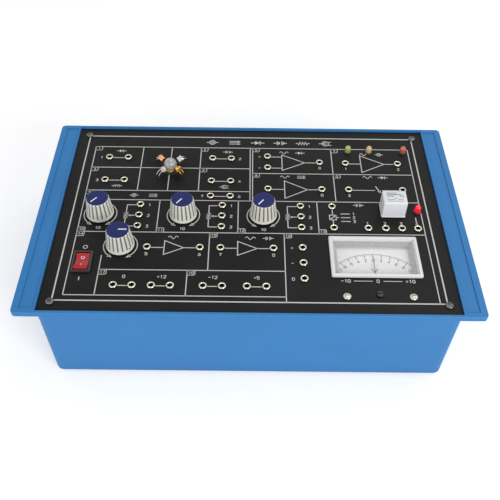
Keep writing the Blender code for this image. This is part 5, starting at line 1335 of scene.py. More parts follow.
    def numbers(self, ink: Print) -> None:
        """Number the sockets of each block.

        Args:
            ink: The print that they join.
        """
        fine, size = 0.5, 2.6
        for y, texts in zip(PLAN.sensor_rows, ("12", "34", "56")):
            if y != PLAN.sensor_rows[-1]:
                ink.number(texts[0], (PLAN.sensors_left[0] - 6.8, y), size, fine)
            ink.number(texts[1], (PLAN.sensors_right[1] + 7.4, y), size, fine)
        ink.number("7", (PLAN.sensors_right[0] - 7.0, PLAN.sensor_rows[-1]), size, fine)
        (ax, ay), (bx, by), (cx, cy) = PLAN.comparator
        ink.number("+", (ax - 7.0, ay), size, fine)
        ink.number("-", (bx - 7.0, by), size, fine)
        ink.number("8", (cx, cy - 6.6), size, fine)
        for texts, places in (("90", PLAN.current), ("12", PLAN.power), ("34", PLAN.switch)):
            for text, (x, y) in zip(texts, places):
                ink.number(text, (x, y - 6.4), size, fine)
        for column, x in enumerate(PLAN.pots):
            for row, y in enumerate(PLAN.pot_rows):
                ink.number(str(row + 1), (x + 7.4, y), size, fine)
        for number, x in enumerate(PLAN.contacts):
            ink.number(str(number + 1), (x, PLAN.pot_rows[-1] + 5.8), size, fine)
        for number, x in enumerate(PLAN.amplifiers):
            ink.number(str(number + 5), (x, PLAN.amplifier_row - 6.6), size, fine)
        for text, left, right in (("0", 0, 1), ("+12", 2, 3), ("-12", 4, 5), ("+5", 6, 7)):
            x = (PLAN.supplies[left] + PLAN.supplies[right]) / 2
            ink.number(text, (x, PLAN.supply_row + 8.6), size, fine)
        for text, y in zip("+-0", PLAN.meter_rows):
            ink.number(text, (PLAN.meter_column - 8.2, y), size, fine)
        for name in ("knob_a", "knob_b", "knob_c"):
            place = middle(name)
            ink.number("10", (place.x, place.y - 15.2), 2.3, fine)

    def arcs(self, ink: Print) -> None:
        """Lay the turning arc with an arrow at each end round every knob.

        Args:
            ink: The print that they join.
        """
        for name in ("knob_a", "knob_b", "knob_c", "knob_offset"):
            place = middle(name)
            centre = (place.x, place.y)
            start, end = -90.0 + self.arc_gap, 270.0 - self.arc_gap
            ink.line(arc(centre, self.arc_radius, start, end, 48), self.fine)
            for bearing_deg, way in ((start, -1.0), (end, 1.0)):
                turn = radians(bearing_deg)
                x, y = centre[0] + self.arc_radius * cos(turn), centre[1] + self.arc_radius * sin(turn)
                along = (-sin(turn) * way, cos(turn) * way)
                ink.arrow((x + along[0] * 2.2, y + along[1] * 2.2), along, 3.9, 3.0)

    def signs(self, ink: Print) -> None:
        """Lay circuit signs where a trainer has its headings.

        Args:
            ink: The print that they join.
        """
        for sign, x in self.headings:
            ink.sign(sign, (x, self.heading_row), 1.0, 0.85)
        for sign, x, y in self.small_signs:
            ink.sign(sign, (x, y), 0.72, 0.55)
        caption = box("meter_bezel")[0].y - 3.0
        for side in (-1, 1):
            ink.line([(PLAN.meter_x + side * reach, caption) for reach in (4.0, 18.0)], 0.55)
        for text, x in (("-10", -24.0), ("0", 0.0), ("+10", 24.0)):
            ink.number(text, (PLAN.meter_x + x, caption), 2.7, 0.55)
        switch = middle("switch_frame")
        ink.line(circle((switch.x, switch.y + 15.6), 1.6), 0.6, True)
        ink.line([(switch.x, switch.y - 14.0), (switch.x, switch.y - 17.4)], 0.7)
        ink.line([(PLAN.contacts[-1], -12.0), (PLAN.contacts[-1], -5.0)], self.fine)


@dataclass
class SetKnob:
    """A fluted set knob with its cap and pointer."""

    key: str
    body: Body
    pointer: float
    base_radius: float = 10.9
    top_radius: float = 9.0
    band: float = 1.9
    flutes: int = 18
    groove: float = 0.85
    groove_width: float = 0.20
    samples: int = 12
    cap_radius: float = 8.45
    bore: float = 7.8
    grub_turn: float = 40.0

    def fluted(self, radius: float, depth: float, z: float, centre: Flat) -> list[Point]:
        """Return a ring of ribs with narrow grooves between them.

        Args:
            radius: Radius over the ribs.
            depth: Depth of the grooves.
            z: Its height.
            centre: Its middle.

        Returns:
            The points.
        """
        points = []
        count = self.flutes * self.samples
        for i in range(count):
            share = (i % self.samples) / self.samples
            off = abs(share - 0.5)
            dip = max(0.0, 1.0 - (off / self.groove_width) ** 2) if off < self.groove_width else 0.0
            reach = radius - depth * dip
            turn = TURN * i / count
            points.append((centre[0] + reach * cos(turn), centre[1] + reach * sin(turn), z))
        return points

    def build(self) -> None:
        """Build skirt, cap and pointer."""
        low, high = box("knob_" + self.key)
        centre, _ = footprint("knob_" + self.key)
        base, top = low.z, high.z
        lower, upper = self.base_radius, self.top_radius
        rise = base + self.band
        slope = (upper - lower) / (top - rise)
        rows = [(7.6, 0, base + 3.0), (7.9, 0, base), (lower - 0.25, 0, base), (lower, 0, base + 0.25),
                (lower, 0, rise - 0.3), (lower - 0.12, 0, rise)]
        for share, depth in ((0.02, 0.45), (0.06, 0.85), (0.12, 1.0), (0.5, 1.0), (0.9, 1.0), (0.955, 0.9)):
            z = rise + (top - rise) * share
            rows.append((lower + slope * (z - rise) - 0.1, self.groove * depth, z))
        rows += [(upper - 0.22, self.groove * 0.5, top - 0.22), (upper - 0.45, self.groove * 0.15, top),
                 (self.bore + 0.15, 0, top), (self.bore, 0, top - 0.15), (self.bore, 0, top - 1.0)]
        skirt = Sketch()
        skirt.thread([self.fluted(radius, depth, z, centre) for radius, depth, z in rows])
        made = skirt.piece(f"skirt_{self.key}", KNOB_GREY, "pale_knob", ["knob_" + self.key], self.body, sharp=42.0)
        self.grub_hole(made, centre, base)
        self.paint_groove_shade(made, centre, (rise, top), (lower, upper))

        crown = box("knob_cap_" + self.key)[1].z - 0.25
        r = self.cap_radius
        cap = Sketch()
        cap.turned([(0, top - 0.8), (self.bore - 0.1, top - 0.8), (self.bore - 0.1, top + 0.03),
                    (r - 0.1, top + 0.03), (r, top + 0.15), (r, top + 0.4), (r - 0.15, top + 0.62),
                    (r - 0.6, crown - 0.08), (r - 1.6, crown), (0, crown)], 72, centre)
        cap.piece(f"crown_{self.key}", KNOB_NAVY, "navy_cap", ["knob_cap_" + self.key], self.body)
        at = Matrix.Translation((*centre, 0.0)) @ Matrix.Rotation(radians(-self.pointer), 4, "Z")
        bar = Sketch()
        bar.thread([[(x, y, z) for x, y, _ in round_rect(0.5, 3.3, 0.4, 0.0, (0.0, 3.6), 4)]
                    for z in (crown - 0.5, crown + 0.14)], at=at)
        bar.piece(f"pointer_{self.key}", POINTER_WHITE, body=self.body, bevel=0.08)

    def paint_groove_shade(self, skirt: bpy.types.Object, centre: Flat, heights: Flat, radii: Flat) -> None:
        """Give the grooves between the ribs a darker finish, a painted shade that stands for the shadow in them.

        Args:
            skirt: The skirt.
            centre: Its axis.
            heights: Where the grooves start and end.
            radii: Radius over the ribs at these heights.
        """
        skirt.data.materials.append(KNOB_GROOVE_SHADE.material())
        slope = (radii[1] - radii[0]) / (heights[1] - heights[0])
        for face in skirt.data.polygons:
            x, y, z = (value / MM for value in face.center)
            over = radii[0] + slope * (z - heights[0])
            reach = hypot(x - centre[0], y - centre[1])
            # faces deep in a groove get the painted shade finish
            if heights[0] + 0.4 < z < heights[1] - 0.2 and self.bore + 0.2 < reach < over - 0.42:
                face.material_index = 1

    def grub_hole(self, skirt: bpy.types.Object, centre: Flat, base: float) -> None:
        """Drill the grub screw's hole in the skirt and set the screw in it.

        Args:
            skirt: The skirt.
            centre: Its axis.
            base: Height of its foot.
        """
        turn = radians(90.0 - self.pointer - self.grub_turn)
        out = Vector((cos(turn), sin(turn), 0.0))
        at = Matrix.Translation((*centre, base + 3.0)) @ out.to_track_quat("Z", "Y").to_matrix().to_4x4()
        drill = Sketch()
        drill.turned([(0, 8.6), (0.85, 8.6), (0.85, 13.0), (0, 13.0)], 20, at=at)
        carve(skirt, drill)
        grub = Sketch()
        grub.turned([(0, 7.9), (0.8, 7.9), (0.8, 8.9), (0.35, 8.9), (0.35, 8.7), (0, 8.7)], 20, at=at)
        grub.piece(f"grub_{self.key}", STEEL, body=self.body)


@dataclass
class LampAndSensors:
    """The globe lamp in its holder and the four light sensors round it."""

    centre: Flat = (-68.2, 49.2)
    globe: float = 5.5
    globe_rise: float = 6.2
    filament_rise: float = 6.5
    glass: float = 0.45
    neck: float = 3.6
    reach: float = 7.6
    hole_reach: float = 15.6
    tilt: float = 14.0
    lead: float = 0.35
    lead_pitch: float = 2.6

    def build(self) -> None:
        """Build the lamp and its sensors."""
        self.lamp()
        self.holder()
        self.can("photodiode", 142.0, 2.7, 4.6, COPPER_CAN, SILVER_CAN)
        self.can("phototransistor", 35.0, 2.9, 4.2, SILVER_CAN, SILVER_CAN)
        self.can("photovoltaic_cell", 315.0, 2.7, 4.4, GOLD_CAN, GOLD_CAN)
        self.cell("photoconductive_cell", 232.0, 2.5, 2.6)

    def lamp(self) -> None:
        """Blow the globe, and build its cap, wires and filament."""
        top = PLAN.top
        middle_z = top + self.globe_rise
        foot = radians(-52.0)
        turns = [foot + (TURN / 4 - foot) * i / 20 for i in range(20)]
        outer = [(self.globe * cos(t), middle_z + self.globe * sin(t)) for t in turns]
        inner_r = self.globe - self.glass
        inner = [(inner_r * cos(t), middle_z + inner_r * sin(t)) for t in turns]
        glass = Sketch()
        glass.turned([(self.neck, top + 0.5)] + outer + [(0, middle_z + self.globe)], 48, self.centre)
        made = glass.piece("lamp_globe", LAMP_GLASS, "lamp_glass", ["lamp_bulb"], sharp=80.0)
        hollow = Sketch()
        hollow.turned([(0, top + 1.2), (self.neck - 0.5, top + 1.2)] + inner + [(0, middle_z + inner_r)], 48,
                      self.centre)
        carve(made, hollow)
        low = box("lamp_bulb")[0].z
        rings = [(0, low), (1.0, low), (1.5, low + 0.6), (1.7, low + 1.3), (4.5, low + 1.3)]
        for turn in range(6):
            z = low + 2.2 + turn * 1.5
            rings += [(4.3, z), (4.7, z + 0.4), (4.7, z + 0.7), (4.3, z + 1.1)]
        rings += [(4.5, top + 0.4), (3.9, top + 0.8), (0, top + 0.8)]
        cap = Sketch()
        cap.turned(rings, 36, self.centre)
        cap.piece("lamp_cap", BRASS, "brass")
        wires = Sketch()
        x, y = self.centre
        hot = top + self.filament_rise
        for side in (-1, 1):
            wires.tube([(x + side * 0.6, y, top + 0.7), (x + side * 0.8, y, top + 3.3), (x + side * 2.0, y, hot)],
                       0.14, 8)
        coil = []
        for i in range(121):
            share = i / 120
            turn = TURN * 10 * share
            sag = 0.5 * (1 - (2 * share - 1) ** 2)
            coil.append((x - 2.0 + 4.0 * share, y + 0.28 * sin(turn), hot + sag + 0.28 * cos(turn)))
        wires.tube(coil, 0.07, 6)
        bead = ((0, 2.3), (0.7, 2.5), (0.9, 3.0), (0.7, 3.5), (0, 3.7))
        wires.turned([(radius, top + rise) for radius, rise in bead], 14, self.centre)
        wires.piece("lamp_filament", TUNGSTEN)

    def holder(self) -> None:
        """Build the flanged lamp holder."""
        low = box("lamp_holder")[0].z
        ring = Sketch()
        brim = ((6.2, 0.3), (7.0, 0.3), (7.2, 0.45), (7.2, 0.75), (6.9, 0.9), (5.2, 0.9), (5.0, 0.7))
        ring.turned([(0, low), (6.0, low), (6.2, low + 0.3)] + [(radius, PLAN.top + rise) for radius, rise in brim]
                    + [(5.0, low + 2.0), (0, low + 1.2)], 56, self.centre)
        ring.piece("lamp_ring", BLACK_PLASTIC, "black_plastic", ["lamp_holder"])
        mouth = Sketch()
        lip = ((4.05, 0.5), (4.75, 0.5), (4.85, 0.7), (4.85, 1.5), (4.55, 1.8), (4.2, 1.8), (4.05, 1.6))
        mouth.turned([(radius, PLAN.top + rise) for radius, rise in lip], 48, self.centre, True)
        mouth.piece("lamp_mouth", BRASS, "brass")

    def stand(self, bearing_deg: float) -> tuple[Matrix, Vector, Vector]:
        """Return how a sensor stands.

        Args:
            bearing_deg: Its bearing from the lamp.

        Returns:
            Its matrix, and its outward and sideways directions.
        """
        turn = radians(bearing_deg)
        out = Vector((cos(turn), sin(turn), 0.0))
        across = Vector((-sin(turn), cos(turn), 0.0))
        axis = (out * cos(radians(self.tilt)) + Vector((0.0, 0.0, sin(radians(self.tilt))))).normalized()
        face = Vector((*self.centre, PLAN.top + 6.0)) + out * self.reach
        at = Matrix.Translation(face) @ axis.to_track_quat("Z", "Y").to_matrix().to_4x4()
        return at, out, across

    def leads(self, sketch: Sketch, out: Vector, across: Vector, back: Vector) -> None:
        """Bend two leads from a sensor's back down through the panel.

        Args:
            sketch: The mesh that they join.
            out: Away from the lamp.
            across: From lead to lead.
            back: Where they leave the sensor.
        """
        for side in (-1, 1):
            shift = across * (side * self.lead_pitch / 2)
            hole = Vector((*self.centre, PLAN.top)) + out * self.hole_reach + shift
            start = back + shift
            knee = hole + Vector((0.0, 0.0, 4.4))
            pulls = (start, start + out * 2.6 + Vector((0.0, 0.0, 0.6)), knee + Vector((0.0, 0.0, 1.6)),
                     knee - Vector((0.0, 0.0, 1.0)))
            line = [bend(pulls, i / 12) for i in range(13)]
            line.append(hole - Vector((0.0, 0.0, 4.0)))
            sketch.tube(line, self.lead, 10)

    def can(self, name: str, bearing_deg: float, radius: float, length: float, shell: Finish, base: Finish) -> None:
        """Build a metal can sensor with a window that faces the lamp.

        Args:
            name: The sensor.
            bearing_deg: Its bearing from the lamp.
            radius: Radius of the can.
            length: Length of the can.
            shell: The can's finish.
            base: The header's finish.
        """
        at, out, across = self.stand(bearing_deg)
        r, brim = radius, radius + 0.5
        can = Sketch()
        can.turned([(0, 0.6), (r * 0.62, 0.6), (r * 0.62, 0.08), (r * 0.66, 0.0), (r - 0.35, 0.0), (r - 0.1, 0.1),
                    (r, 0.35), (r, length - 0.95), (r + 0.1, length - 0.8), (brim, length - 0.7),
                    (brim, length - 0.4), (0, length - 0.4)], 40, at=at)
        can.piece(f"can_{name}", shell, "sensor_can", [f"sensor_{name}"])
        header = Sketch()
        header.turned([(0, length - 0.4), (brim - 0.05, length - 0.4), (brim - 0.05, length - 0.1),
                       (brim - 0.2, length), (0, length)], 40, at=at)
        header.block((brim - 0.3, -0.5, length - 0.45), (brim + 0.7, 0.5, length - 0.05), at)
        back = at @ Vector((0.0, 0.0, length - 0.3))
        self.leads(header, out, across, back)
        header.piece(f"header_{name}", base, "sensor_can")
        lens = Sketch()
        lens.turned([(0, 0.62), (r * 0.6, 0.62), (r * 0.6, 0.3), (r * 0.4, 0.18), (0, 0.12)], 32, at=at)
        lens.piece(f"window_{name}", DARK_WINDOW)

    def cell(self, name: str, bearing_deg: float, radius: float, length: float) -> None:
        """Build the photoconductive cell with its snaking track.

        Args:
            name: The sensor.
            bearing_deg: Its bearing from the lamp.
            radius: Its radius.
            length: Its length.
        """
        at, out, across = self.stand(bearing_deg)
        puck = Sketch()
        r = radius
        puck.turned([(0, 0.0), (r - 0.5, 0.0), (r - 0.15, 0.15), (r, 0.5), (r, length - 0.7),
                     (r - 0.25, length - 0.3), (r - 0.8, length), (0, length)], 40, at=at)
        puck.piece(f"puck_{name}", CERAMIC, "sensor_ceramic", [f"sensor_{name}"])
        snake = []
        for i in range(7):
            y = -1.5 + i * 0.5
            half = (max(0.2, 1.9 ** 2 - y * y)) ** 0.5 * 0.85
            ends = [(-half, y), (half, y)]
            snake += ends if i % 2 == 0 else ends[::-1]
        track = Sketch()
        track.stroke(snake, 0.2, -0.06, 0.04, at=at)
        track.piece(f"track_{name}", TRACK)
        legs = Sketch()
        self.leads(legs, out, across, at @ Vector((0.0, 0.0, length - 0.3)))
        legs.piece(f"legs_{name}", SILVER_CAN)


@dataclass
class Relay:
    """The plug-in relay in its white cover, with the works inside."""

    corner: float = 1.1
    mark_width: float = 0.5

    def build(self) -> None:
        """Build the cover and dress the works."""
        low, high = box("relay_cover")
        centre, half = footprint("relay_cover")
        wall, c = 0.8, self.corner
        shell = Sketch()
        shell.thread(levels(half, (
            (wall, 0.4, low.z), (0.15, c, low.z), (0.0, c, low.z + 0.15), (0.0, c, low.z + 1.3),
            (0.2, c, low.z + 1.5), (0.2, c, high.z - 0.9), (0.32, c, high.z - 0.45), (0.62, c, high.z - 0.14),
            (1.1, c, high.z)), centre) + [round_rect(1.4, 1.4, 0.5, high.z, centre)])
        made = shell.piece("relay_case", RELAY_WHITE, "white_plastic", ["relay_cover"])
        hollow = Sketch()
        hollow.thread(levels(half, ((wall, 0.4, low.z - 1.0), (wall, 0.4, high.z - wall)), centre))
        carve(made, hollow)
        self.marks(Print(high.z - 0.01, high.z + 0.02), centre)
        cover("relay_base", BLACK_PLASTIC)
        cover("relay_coil", COPPER_WIRE)
        cover("relay_armature", STEEL)

    def marks(self, ink: Print, centre: Flat) -> None:
        """Lay a plain contact diagram on the cover.

        Args:
            ink: The print.
            centre: Middle of the cover.
        """
        x, y = centre
        w = self.mark_width
        for row, (left, right) in enumerate(((-6.4, 1.6), (-6.4, 4.6), (-6.4, -0.4))):
            height = y + 4.4 - row * 1.7
            ink.line([(x + left, height), (x + right, height)], w * 1.4)
        ink.line(circle((x + 5.4, y + 1.4), 1.3), w, True)
        ink.line([(x - 6.4, y - 2.6), (x - 1.0, y - 2.6), (x + 1.6, y - 1.2)], w)
        ink.line([(x + 2.2, y - 2.6), (x + 6.2, y - 2.6)], w)
        ink.line([(x - 6.4, y - 4.6), (x + 6.2, y - 4.6)], w)
        ink.piece("relay_marks", MARK_INK)


@dataclass
class Indicators:
    """Domed indicator lights with their inner cups."""

    radius: float = 2.5
    row: tuple[tuple[str, float, Finish], ...] = (
        ("green", 85.0, GREEN_EPOXY), ("amber", 103.4, AMBER_EPOXY), ("orange", 133.2, ORANGE_EPOXY))

    def build(self) -> None:
        """Build the row of three and the relay's red light."""
        low, high = box("indicator_leds")
        y = (low.y + high.y) / 2
        strip = Sketch()
        strip.block((low.x, low.y, low.z), (high.x, high.y, low.z + 1.6))
        strip.piece("indicator_strip", STRIP_BROWN, None, ["indicator_leds"])
        for name, x, finish in self.row:
            self.light(name, (x, y), (low.z + 1.6, high.z), finish)
        place = middle("relay_led")
        ends = (box("relay_led")[0].z, box("relay_led")[1].z)
        self.light("red", (place.x, place.y), ends, RED_EPOXY, ["relay_led"])

    def light(self, name: str, centre: Flat, ends: Flat, finish: Finish, replaces: Sequence[str] = ()) -> None:
        """Build one light with its cup, its post and its collar.

        Args:
            name: Its colour.
            centre: Where it stands.
            ends: Heights of its underside and its crown.
            finish: Its epoxy.
            replaces: The CAD node that it stands for.
        """
        r = self.radius
        foot, crown = ends
        shoulder = crown - r
        dome = [(r * cos(TURN / 4 * i / 12), shoulder + r * sin(TURN / 4 * i / 12)) for i in range(12)]
        body = Sketch()
        body.turned([(0, foot), (r + 0.4, foot), (r + 0.4, foot + 1.0), (r, foot + 1.0), *dome, (0, crown)], 36,
                    centre)
        made = body.piece(f"light_{name}", finish, None, replaces)
        hollow = Sketch()
        hollow.turned([(0, shoulder - 2.6), (0.9, shoulder - 2.6), (1.35, shoulder - 0.7), (0.8, shoulder - 0.7),
                       (0.5, shoulder - 1.5), (0, shoulder - 1.5)], 24, centre)
        carve(made, hollow)
        cup = Sketch()
        cup.turned([(0, shoulder - 2.55), (0.85, shoulder - 2.55), (1.3, shoulder - 0.75), (0.85, shoulder - 0.75),
                    (0.55, shoulder - 1.55), (0, shoulder - 1.55)], 24, centre)
        cup.piece(f"light_cup_{name}", SILVER_CAN)
        collar = Sketch()
        collar.turned([(r + 0.08, PLAN.top + 0.02), (r + 0.9, PLAN.top + 0.02), (r + 0.9, PLAN.top + 0.4),
                       (r + 0.6, PLAN.top + 0.7), (r + 0.08, PLAN.top + 0.7)], 36, centre, True)
        collar.piece(f"light_collar_{name}", BLACK_PLASTIC)


@dataclass
class PowerSwitch:
    """The mains rocker in its frame."""

    tilt: float = 9.0
    pivot_drop: float = 0.6
    radius: float = 8.4
    width: float = 10.6
    crest: float = 1.6
    keel: float = 4.2

    def build(self) -> None:
        """Build the frame and the rocker."""
        low, high = box("switch_frame")
        centre, half = footprint("switch_frame")
        seat = PLAN.seat
        crown = high.z
        pocket = (self.width / 2 + 0.3, self.radius + 0.6)
        rings = levels(half, ((1.0, 0.5, low.z), (1.0, 0.5, seat), (0.0, 1.0, seat), (0.0, 1.0, crown - 0.8),
                              (0.2, 1.0, crown - 0.3), (0.75, 1.0, crown)), centre)
        rings += levels(pocket, ((-0.2, 0.6, crown), (0.0, 0.5, crown - 0.25), (0.0, 0.5, PLAN.top - 8.0)), centre)
        surround = Sketch()
        surround.thread(rings)
        surround.piece("switch_bezel", BLACK_PLASTIC, "black_plastic", ["switch_frame"])
        self.rocker(centre)

    def rocker(self, centre: Flat) -> None:
        """Build the rocker with its dished faces and marks.

        Args:
            centre: Middle of the frame.
        """
        pivot = PLAN.top - self.pivot_drop
        at = Matrix.Translation((*centre, pivot)) @ Matrix.Rotation(radians(-self.tilt), 4, "X")
        turns = [radians(24.0 - 52.0 * i / 8) for i in range(9)]
        side = [(self.radius * cos(t), self.radius * sin(t)) for t in turns]
        end_y, end_z = side[0]
        dish = []
        for i in range(1, 9):
            share = i / 9
            y = end_y * (1 - share)
            z = end_z + (self.crest - end_z) * share - 0.55 * sin(pi * share)
            dish.append((y, z))
        half = [(0.0, self.crest)] + dish[::-1] + side + [(self.radius / 2, -self.keel)]
        outline = half + [(-y, z) for y, z in reversed(half[1:])]
        w = self.width / 2
        made = Sketch()
        made.thread([[(x, y, z) for y, z in outline] for x in (-w, w)], at=at)
        made.piece("rocker_cap", SWITCH_RED, "red_rocker", ["power_rocker"], Body.ROCKER, bevel=0.35, sharp=30.0)
        marks = Sketch()
        slope = (self.crest - end_z) / end_y
        for way, on in ((1, False), (-1, True)):
            share = 0.5
            y = way * end_y * share
            z = end_z + (self.crest - end_z) * share - 0.55
            tip = Matrix.Translation((0.0, y, z)) @ Matrix.Rotation(-way * slope * 0.9, 4, "X")
            if on:
                marks.stroke([(0.0, -1.3), (0.0, 1.3)], 0.5, -0.1, 0.08, at=at @ tip)
            else:
                marks.stroke(arc((0.0, 0.0), 1.2, 0.0, 345.0, 23), 0.45, -0.1, 0.08, True, at @ tip)
        marks.piece("rocker_marks", POINTER_WHITE, body=Body.ROCKER)


@dataclass
class PanelMeter:
    """The moving-coil panel meter: bezel, window, dial, needle and adjuster."""

    x: float = PLAN.meter_x
    pivot_y: float = -84.0
    bezel_y: float = field(default_factory=lambda: middle("meter_bezel").y)
    half_x: float = 34.2
    half_y: float = 20.2
    flange: float = 1.8
    wall: float = 1.4
    dial_z: float = field(default_factory=lambda: box("meter_dial")[1].z)
    scale_radius: float = 40.7
    swing: float = 45.0
    needle_reach: float = 40.5

    def build(self) -> None:
        """Build everything of the meter that shows and dress the rest."""
        self.bezel()
        self.dial()
        self.needle()
        self.adjuster()
        shell = CaseShell()
        for number in (1, 2):
            shell.screw(f"meter_screw_{number}", radians(15.0 + 50.0 * number), SCREW_METAL)
        cover("meter_case", BLACK_PLASTIC)
        cover("meter_magnet", CORE_STEEL)

    def bezel(self) -> None:
        """Build the white bezel, the grey liner and the pane."""
        place = (self.x, self.bezel_y)
        seat = PLAN.seat
        crown = box("meter_bezel")[1].z
        low = box("meter_bezel")[0].z
        half = (self.half_x, self.half_y)
        neck = (half[0] - self.flange, half[1] - self.flange)
        view = (neck[0] - self.wall, neck[1] - self.wall)
        rings = levels(neck, ((0.0, 0.4, low), (0.0, 0.4, seat)), place)
        rings += levels(half, ((0.1, 1.2, seat), (0.0, 1.2, seat + 0.1), (0.0, 1.2, crown - 0.7),
                               (0.2, 1.2, crown - 0.2), (0.7, 1.1, crown)), place)
        rings += levels(view, ((-1.0, 0.5, crown), (-0.8, 0.4, crown - 0.2), (-0.8, 0.4, crown - 1.8),
                               (0.0, 0.4, crown - 1.8), (0.0, 0.4, low)), place)
        surround = Sketch()
        surround.thread(rings, closed=True)
        surround.piece("meter_frame", BEZEL_WHITE, "white_plastic", ["meter_bezel"], sharp=30.0)
        liner = Sketch()
        top = crown - 2.6
        ledge = box("meter_needle")[1].z + 0.45
        step = (top - ledge) / 3
        plan = ((0.3, top), (0.3, top - step), (1.2, top - step), (1.2, top - 2 * step), (2.1, top - 2 * step),
                (2.1, ledge), (2.9, ledge), (2.9, ledge - 0.1))
        rows = [(inset, 0.4, z) for inset, z in plan] + [(0.02, 0.4, z) for z in (ledge - 0.1, top)]
        liner.thread(levels(view, rows, place), closed=True)
        liner.piece("meter_liner", LINER_GREY)
        low_pane, high_pane = (corner.z for corner in box("meter_window"))
        pane = Sketch()
        pane.thread(levels(view, [(-0.5, 0.4, z) for z in (low_pane, high_pane)], place))
        pane.piece("meter_pane", METER_PANE, "window_glass", ["meter_window"])

    def bearing(self, swing: float, radius: float) -> Flat:
        """Return a place on the dial at a swing from the middle."""
        turn = radians(90.0 - swing)
        return (self.x + radius * cos(turn), self.pivot_y + radius * sin(turn))

    def dial(self) -> None:
        """Dress the dial card and print its centre-zero scale."""
        cover("meter_dial", DIAL_WHITE)
        ink = Print(self.dial_z - 0.01, self.dial_z + 0.04)
        r = self.scale_radius
        ink.line([self.bearing(-self.swing + self.swing * i / 24, r + 3.4) for i in range(49)], 0.22)
        for step in range(-25, 26):
            swing = self.swing * step / 25
            major = step % 5 == 0
            length = 3.4 if major else 1.5
            ink.line([self.bearing(swing, r + 3.4 - length), self.bearing(swing, r + 3.4)], 0.55 if major else 0.25)
            if major:
                ink.number(str(abs(step) * 2 // 5), self.bearing(swing, r - 2.6), 2.5, 0.42, -swing)
        ink.number("-", self.bearing(-self.swing + 2.0, r - 8.5), 2.4, 0.4, self.swing)
        ink.number("+", self.bearing(self.swing - 2.0, r - 8.5), 2.4, 0.4, -self.swing)
        foot = self.bezel_y - 10.0
        ink.line([(self.x - 2.6, foot + 3.4), (self.x, foot), (self.x + 2.6, foot + 3.4)], 0.6)
        ink.piece("dial_scale", DIAL_INK)

    def needle(self) -> None:
        """Build the needle with its hub, coil drum and balance weights."""
        low, high = box("meter_needle")
        arm_high = high.z
        arm_low = arm_high - 0.35
        x, y = self.x, self.pivot_y
        arm = Sketch()
        tip = y + self.needle_reach
        corners = ((-1, arm_low), (1, arm_low), (1, arm_high), (-1, arm_high))
        arm.thread([[(x + side * half, along, z) for side, z in corners]
                    for half, along in ((0.45, y), (0.30, tip - 14.0), (0.12, tip))])
        arm.turned([(0, arm_low - 0.9), (2.0, arm_low - 0.9), (2.0, arm_high - 0.1), (1.8, arm_high),
                    (0, arm_high)], 32, (x, y))
        tail = y - 6.0
        arm.block((x - 0.4, tail, arm_low), (x + 0.4, y, arm_high))
        arm.block((x - 1.5, tail, arm_low - 0.2), (x + 1.5, tail + 2.6, arm_high))
        for side in (-1, 1):
            arm.tube([(x + side * 1.2, y, arm_low + 0.2), (x + side * 3.4, y - 1.4, arm_low + 0.2)], 0.3, 8)
        arm.piece("needle_arm", BLACK_PLASTIC, "needle_black", ["meter_needle"], Body.NEEDLE)
        drum = Sketch()
        top = arm_low - 0.9
        bottom = low.z
        spool = ((0, 0), (0.8, 0.8), (4.9, 0.8), (4.9, 1.2), (4.6, 1.5), (4.6, 8.1), (4.9, 8.4), (4.9, 8.8),
                 (0.7, 8.8))
        drum.turned([(radius, bottom + rise) for radius, rise in spool] + [(0.7, top), (0, top)], 32, (x, y))
        drum.piece("needle_coil", COPPER_WIRE, body=Body.NEEDLE)

    def adjuster(self) -> None:
        """Build the slotted zero adjuster."""
        low, high = box("meter_zero_adjuster")
        seat = PLAN.seat
        crown = high.z
        centre = (self.x, self.pivot_y)
        knob = Sketch()
        knob.turned([(0, low.z), (1.3, low.z), (1.5, low.z + 0.3), (1.5, seat), (2.5, seat), (2.7, seat + 0.2),
                     (2.7, crown - 0.5), (2.45, crown - 0.15), (2.0, crown), (0, crown)], 40, centre)
        made = knob.piece("zero_knob", BLACK_PLASTIC, "black_plastic", ["meter_zero_adjuster"], Body.ZERO)
        slot = Sketch()
        slot.block((self.x - 3.5, self.pivot_y - 0.4, crown - 0.8), (self.x + 3.5, self.pivot_y + 0.4, crown + 1.0))
        carve(made, slot)


@dataclass
class MainsInlet:
    """The three-pin mains inlet in the rear wall."""

    mouth: Flat = (12.4, 8.1)
    wall: float = 1.4
    flange: float = 4.0
    depth: float = 15.0
    pin: Flat = (1.0, 2.0)
    pins: tuple[Flat, ...] = ((-7.0, -2.0), (7.0, -2.0), (0.0, 2.0))

    def build(self) -> None:
        """Build the shell and its pins."""
        low, high = box("mains_inlet")
        x = (low.x + high.x) / 2
        z = (low.z + high.z) / 2
        outer = high.y
        inner = outer - self.depth
        shell_x, shell_z = self.mouth[0] + self.wall, self.mouth[1] + self.wall
        flange_x, flange_z = shell_x + self.flange, shell_z + self.flange
        plan = [(shell_x, shell_z, low.y), (shell_x, shell_z, outer - 6.6), (flange_x, flange_z, outer - 6.6),
                (flange_x, flange_z, outer - 4.6), (shell_x, shell_z, outer - 4.6), (shell_x, shell_z, outer - 0.3),
                (shell_x - 0.3, shell_z - 0.3, outer), (self.mouth[0] + 0.3, self.mouth[1] + 0.3, outer),
                (self.mouth[0], self.mouth[1], outer - 0.4), (self.mouth[0], self.mouth[1], inner)]
        shell = Sketch()
        shell.thread([[(x + px, y, z + pz) for px, pz, _ in round_rect(hx, hz, 2.0, 0.0)] for hx, hz, y in plan])
        shell.piece("inlet_shell", BLACK_PLASTIC, "black_plastic", ["mains_inlet"])
        pins = Sketch()
        for px, pz in self.pins:
            rings = []
            for y, trim in ((inner - 1.0, 0.0), (outer - 3.4, 0.0), (outer - 2.2, 0.35), (outer - 2.0, 0.6)):
                end = round_rect(self.pin[0] - trim, self.pin[1] - trim, 0.35, 0.0, steps=3)
                rings.append([(x + px + cx, y, z + pz + cz) for cx, cz, _ in end])
            pins.thread(rings)
        pins.piece("inlet_pins", SILVER_CAN)


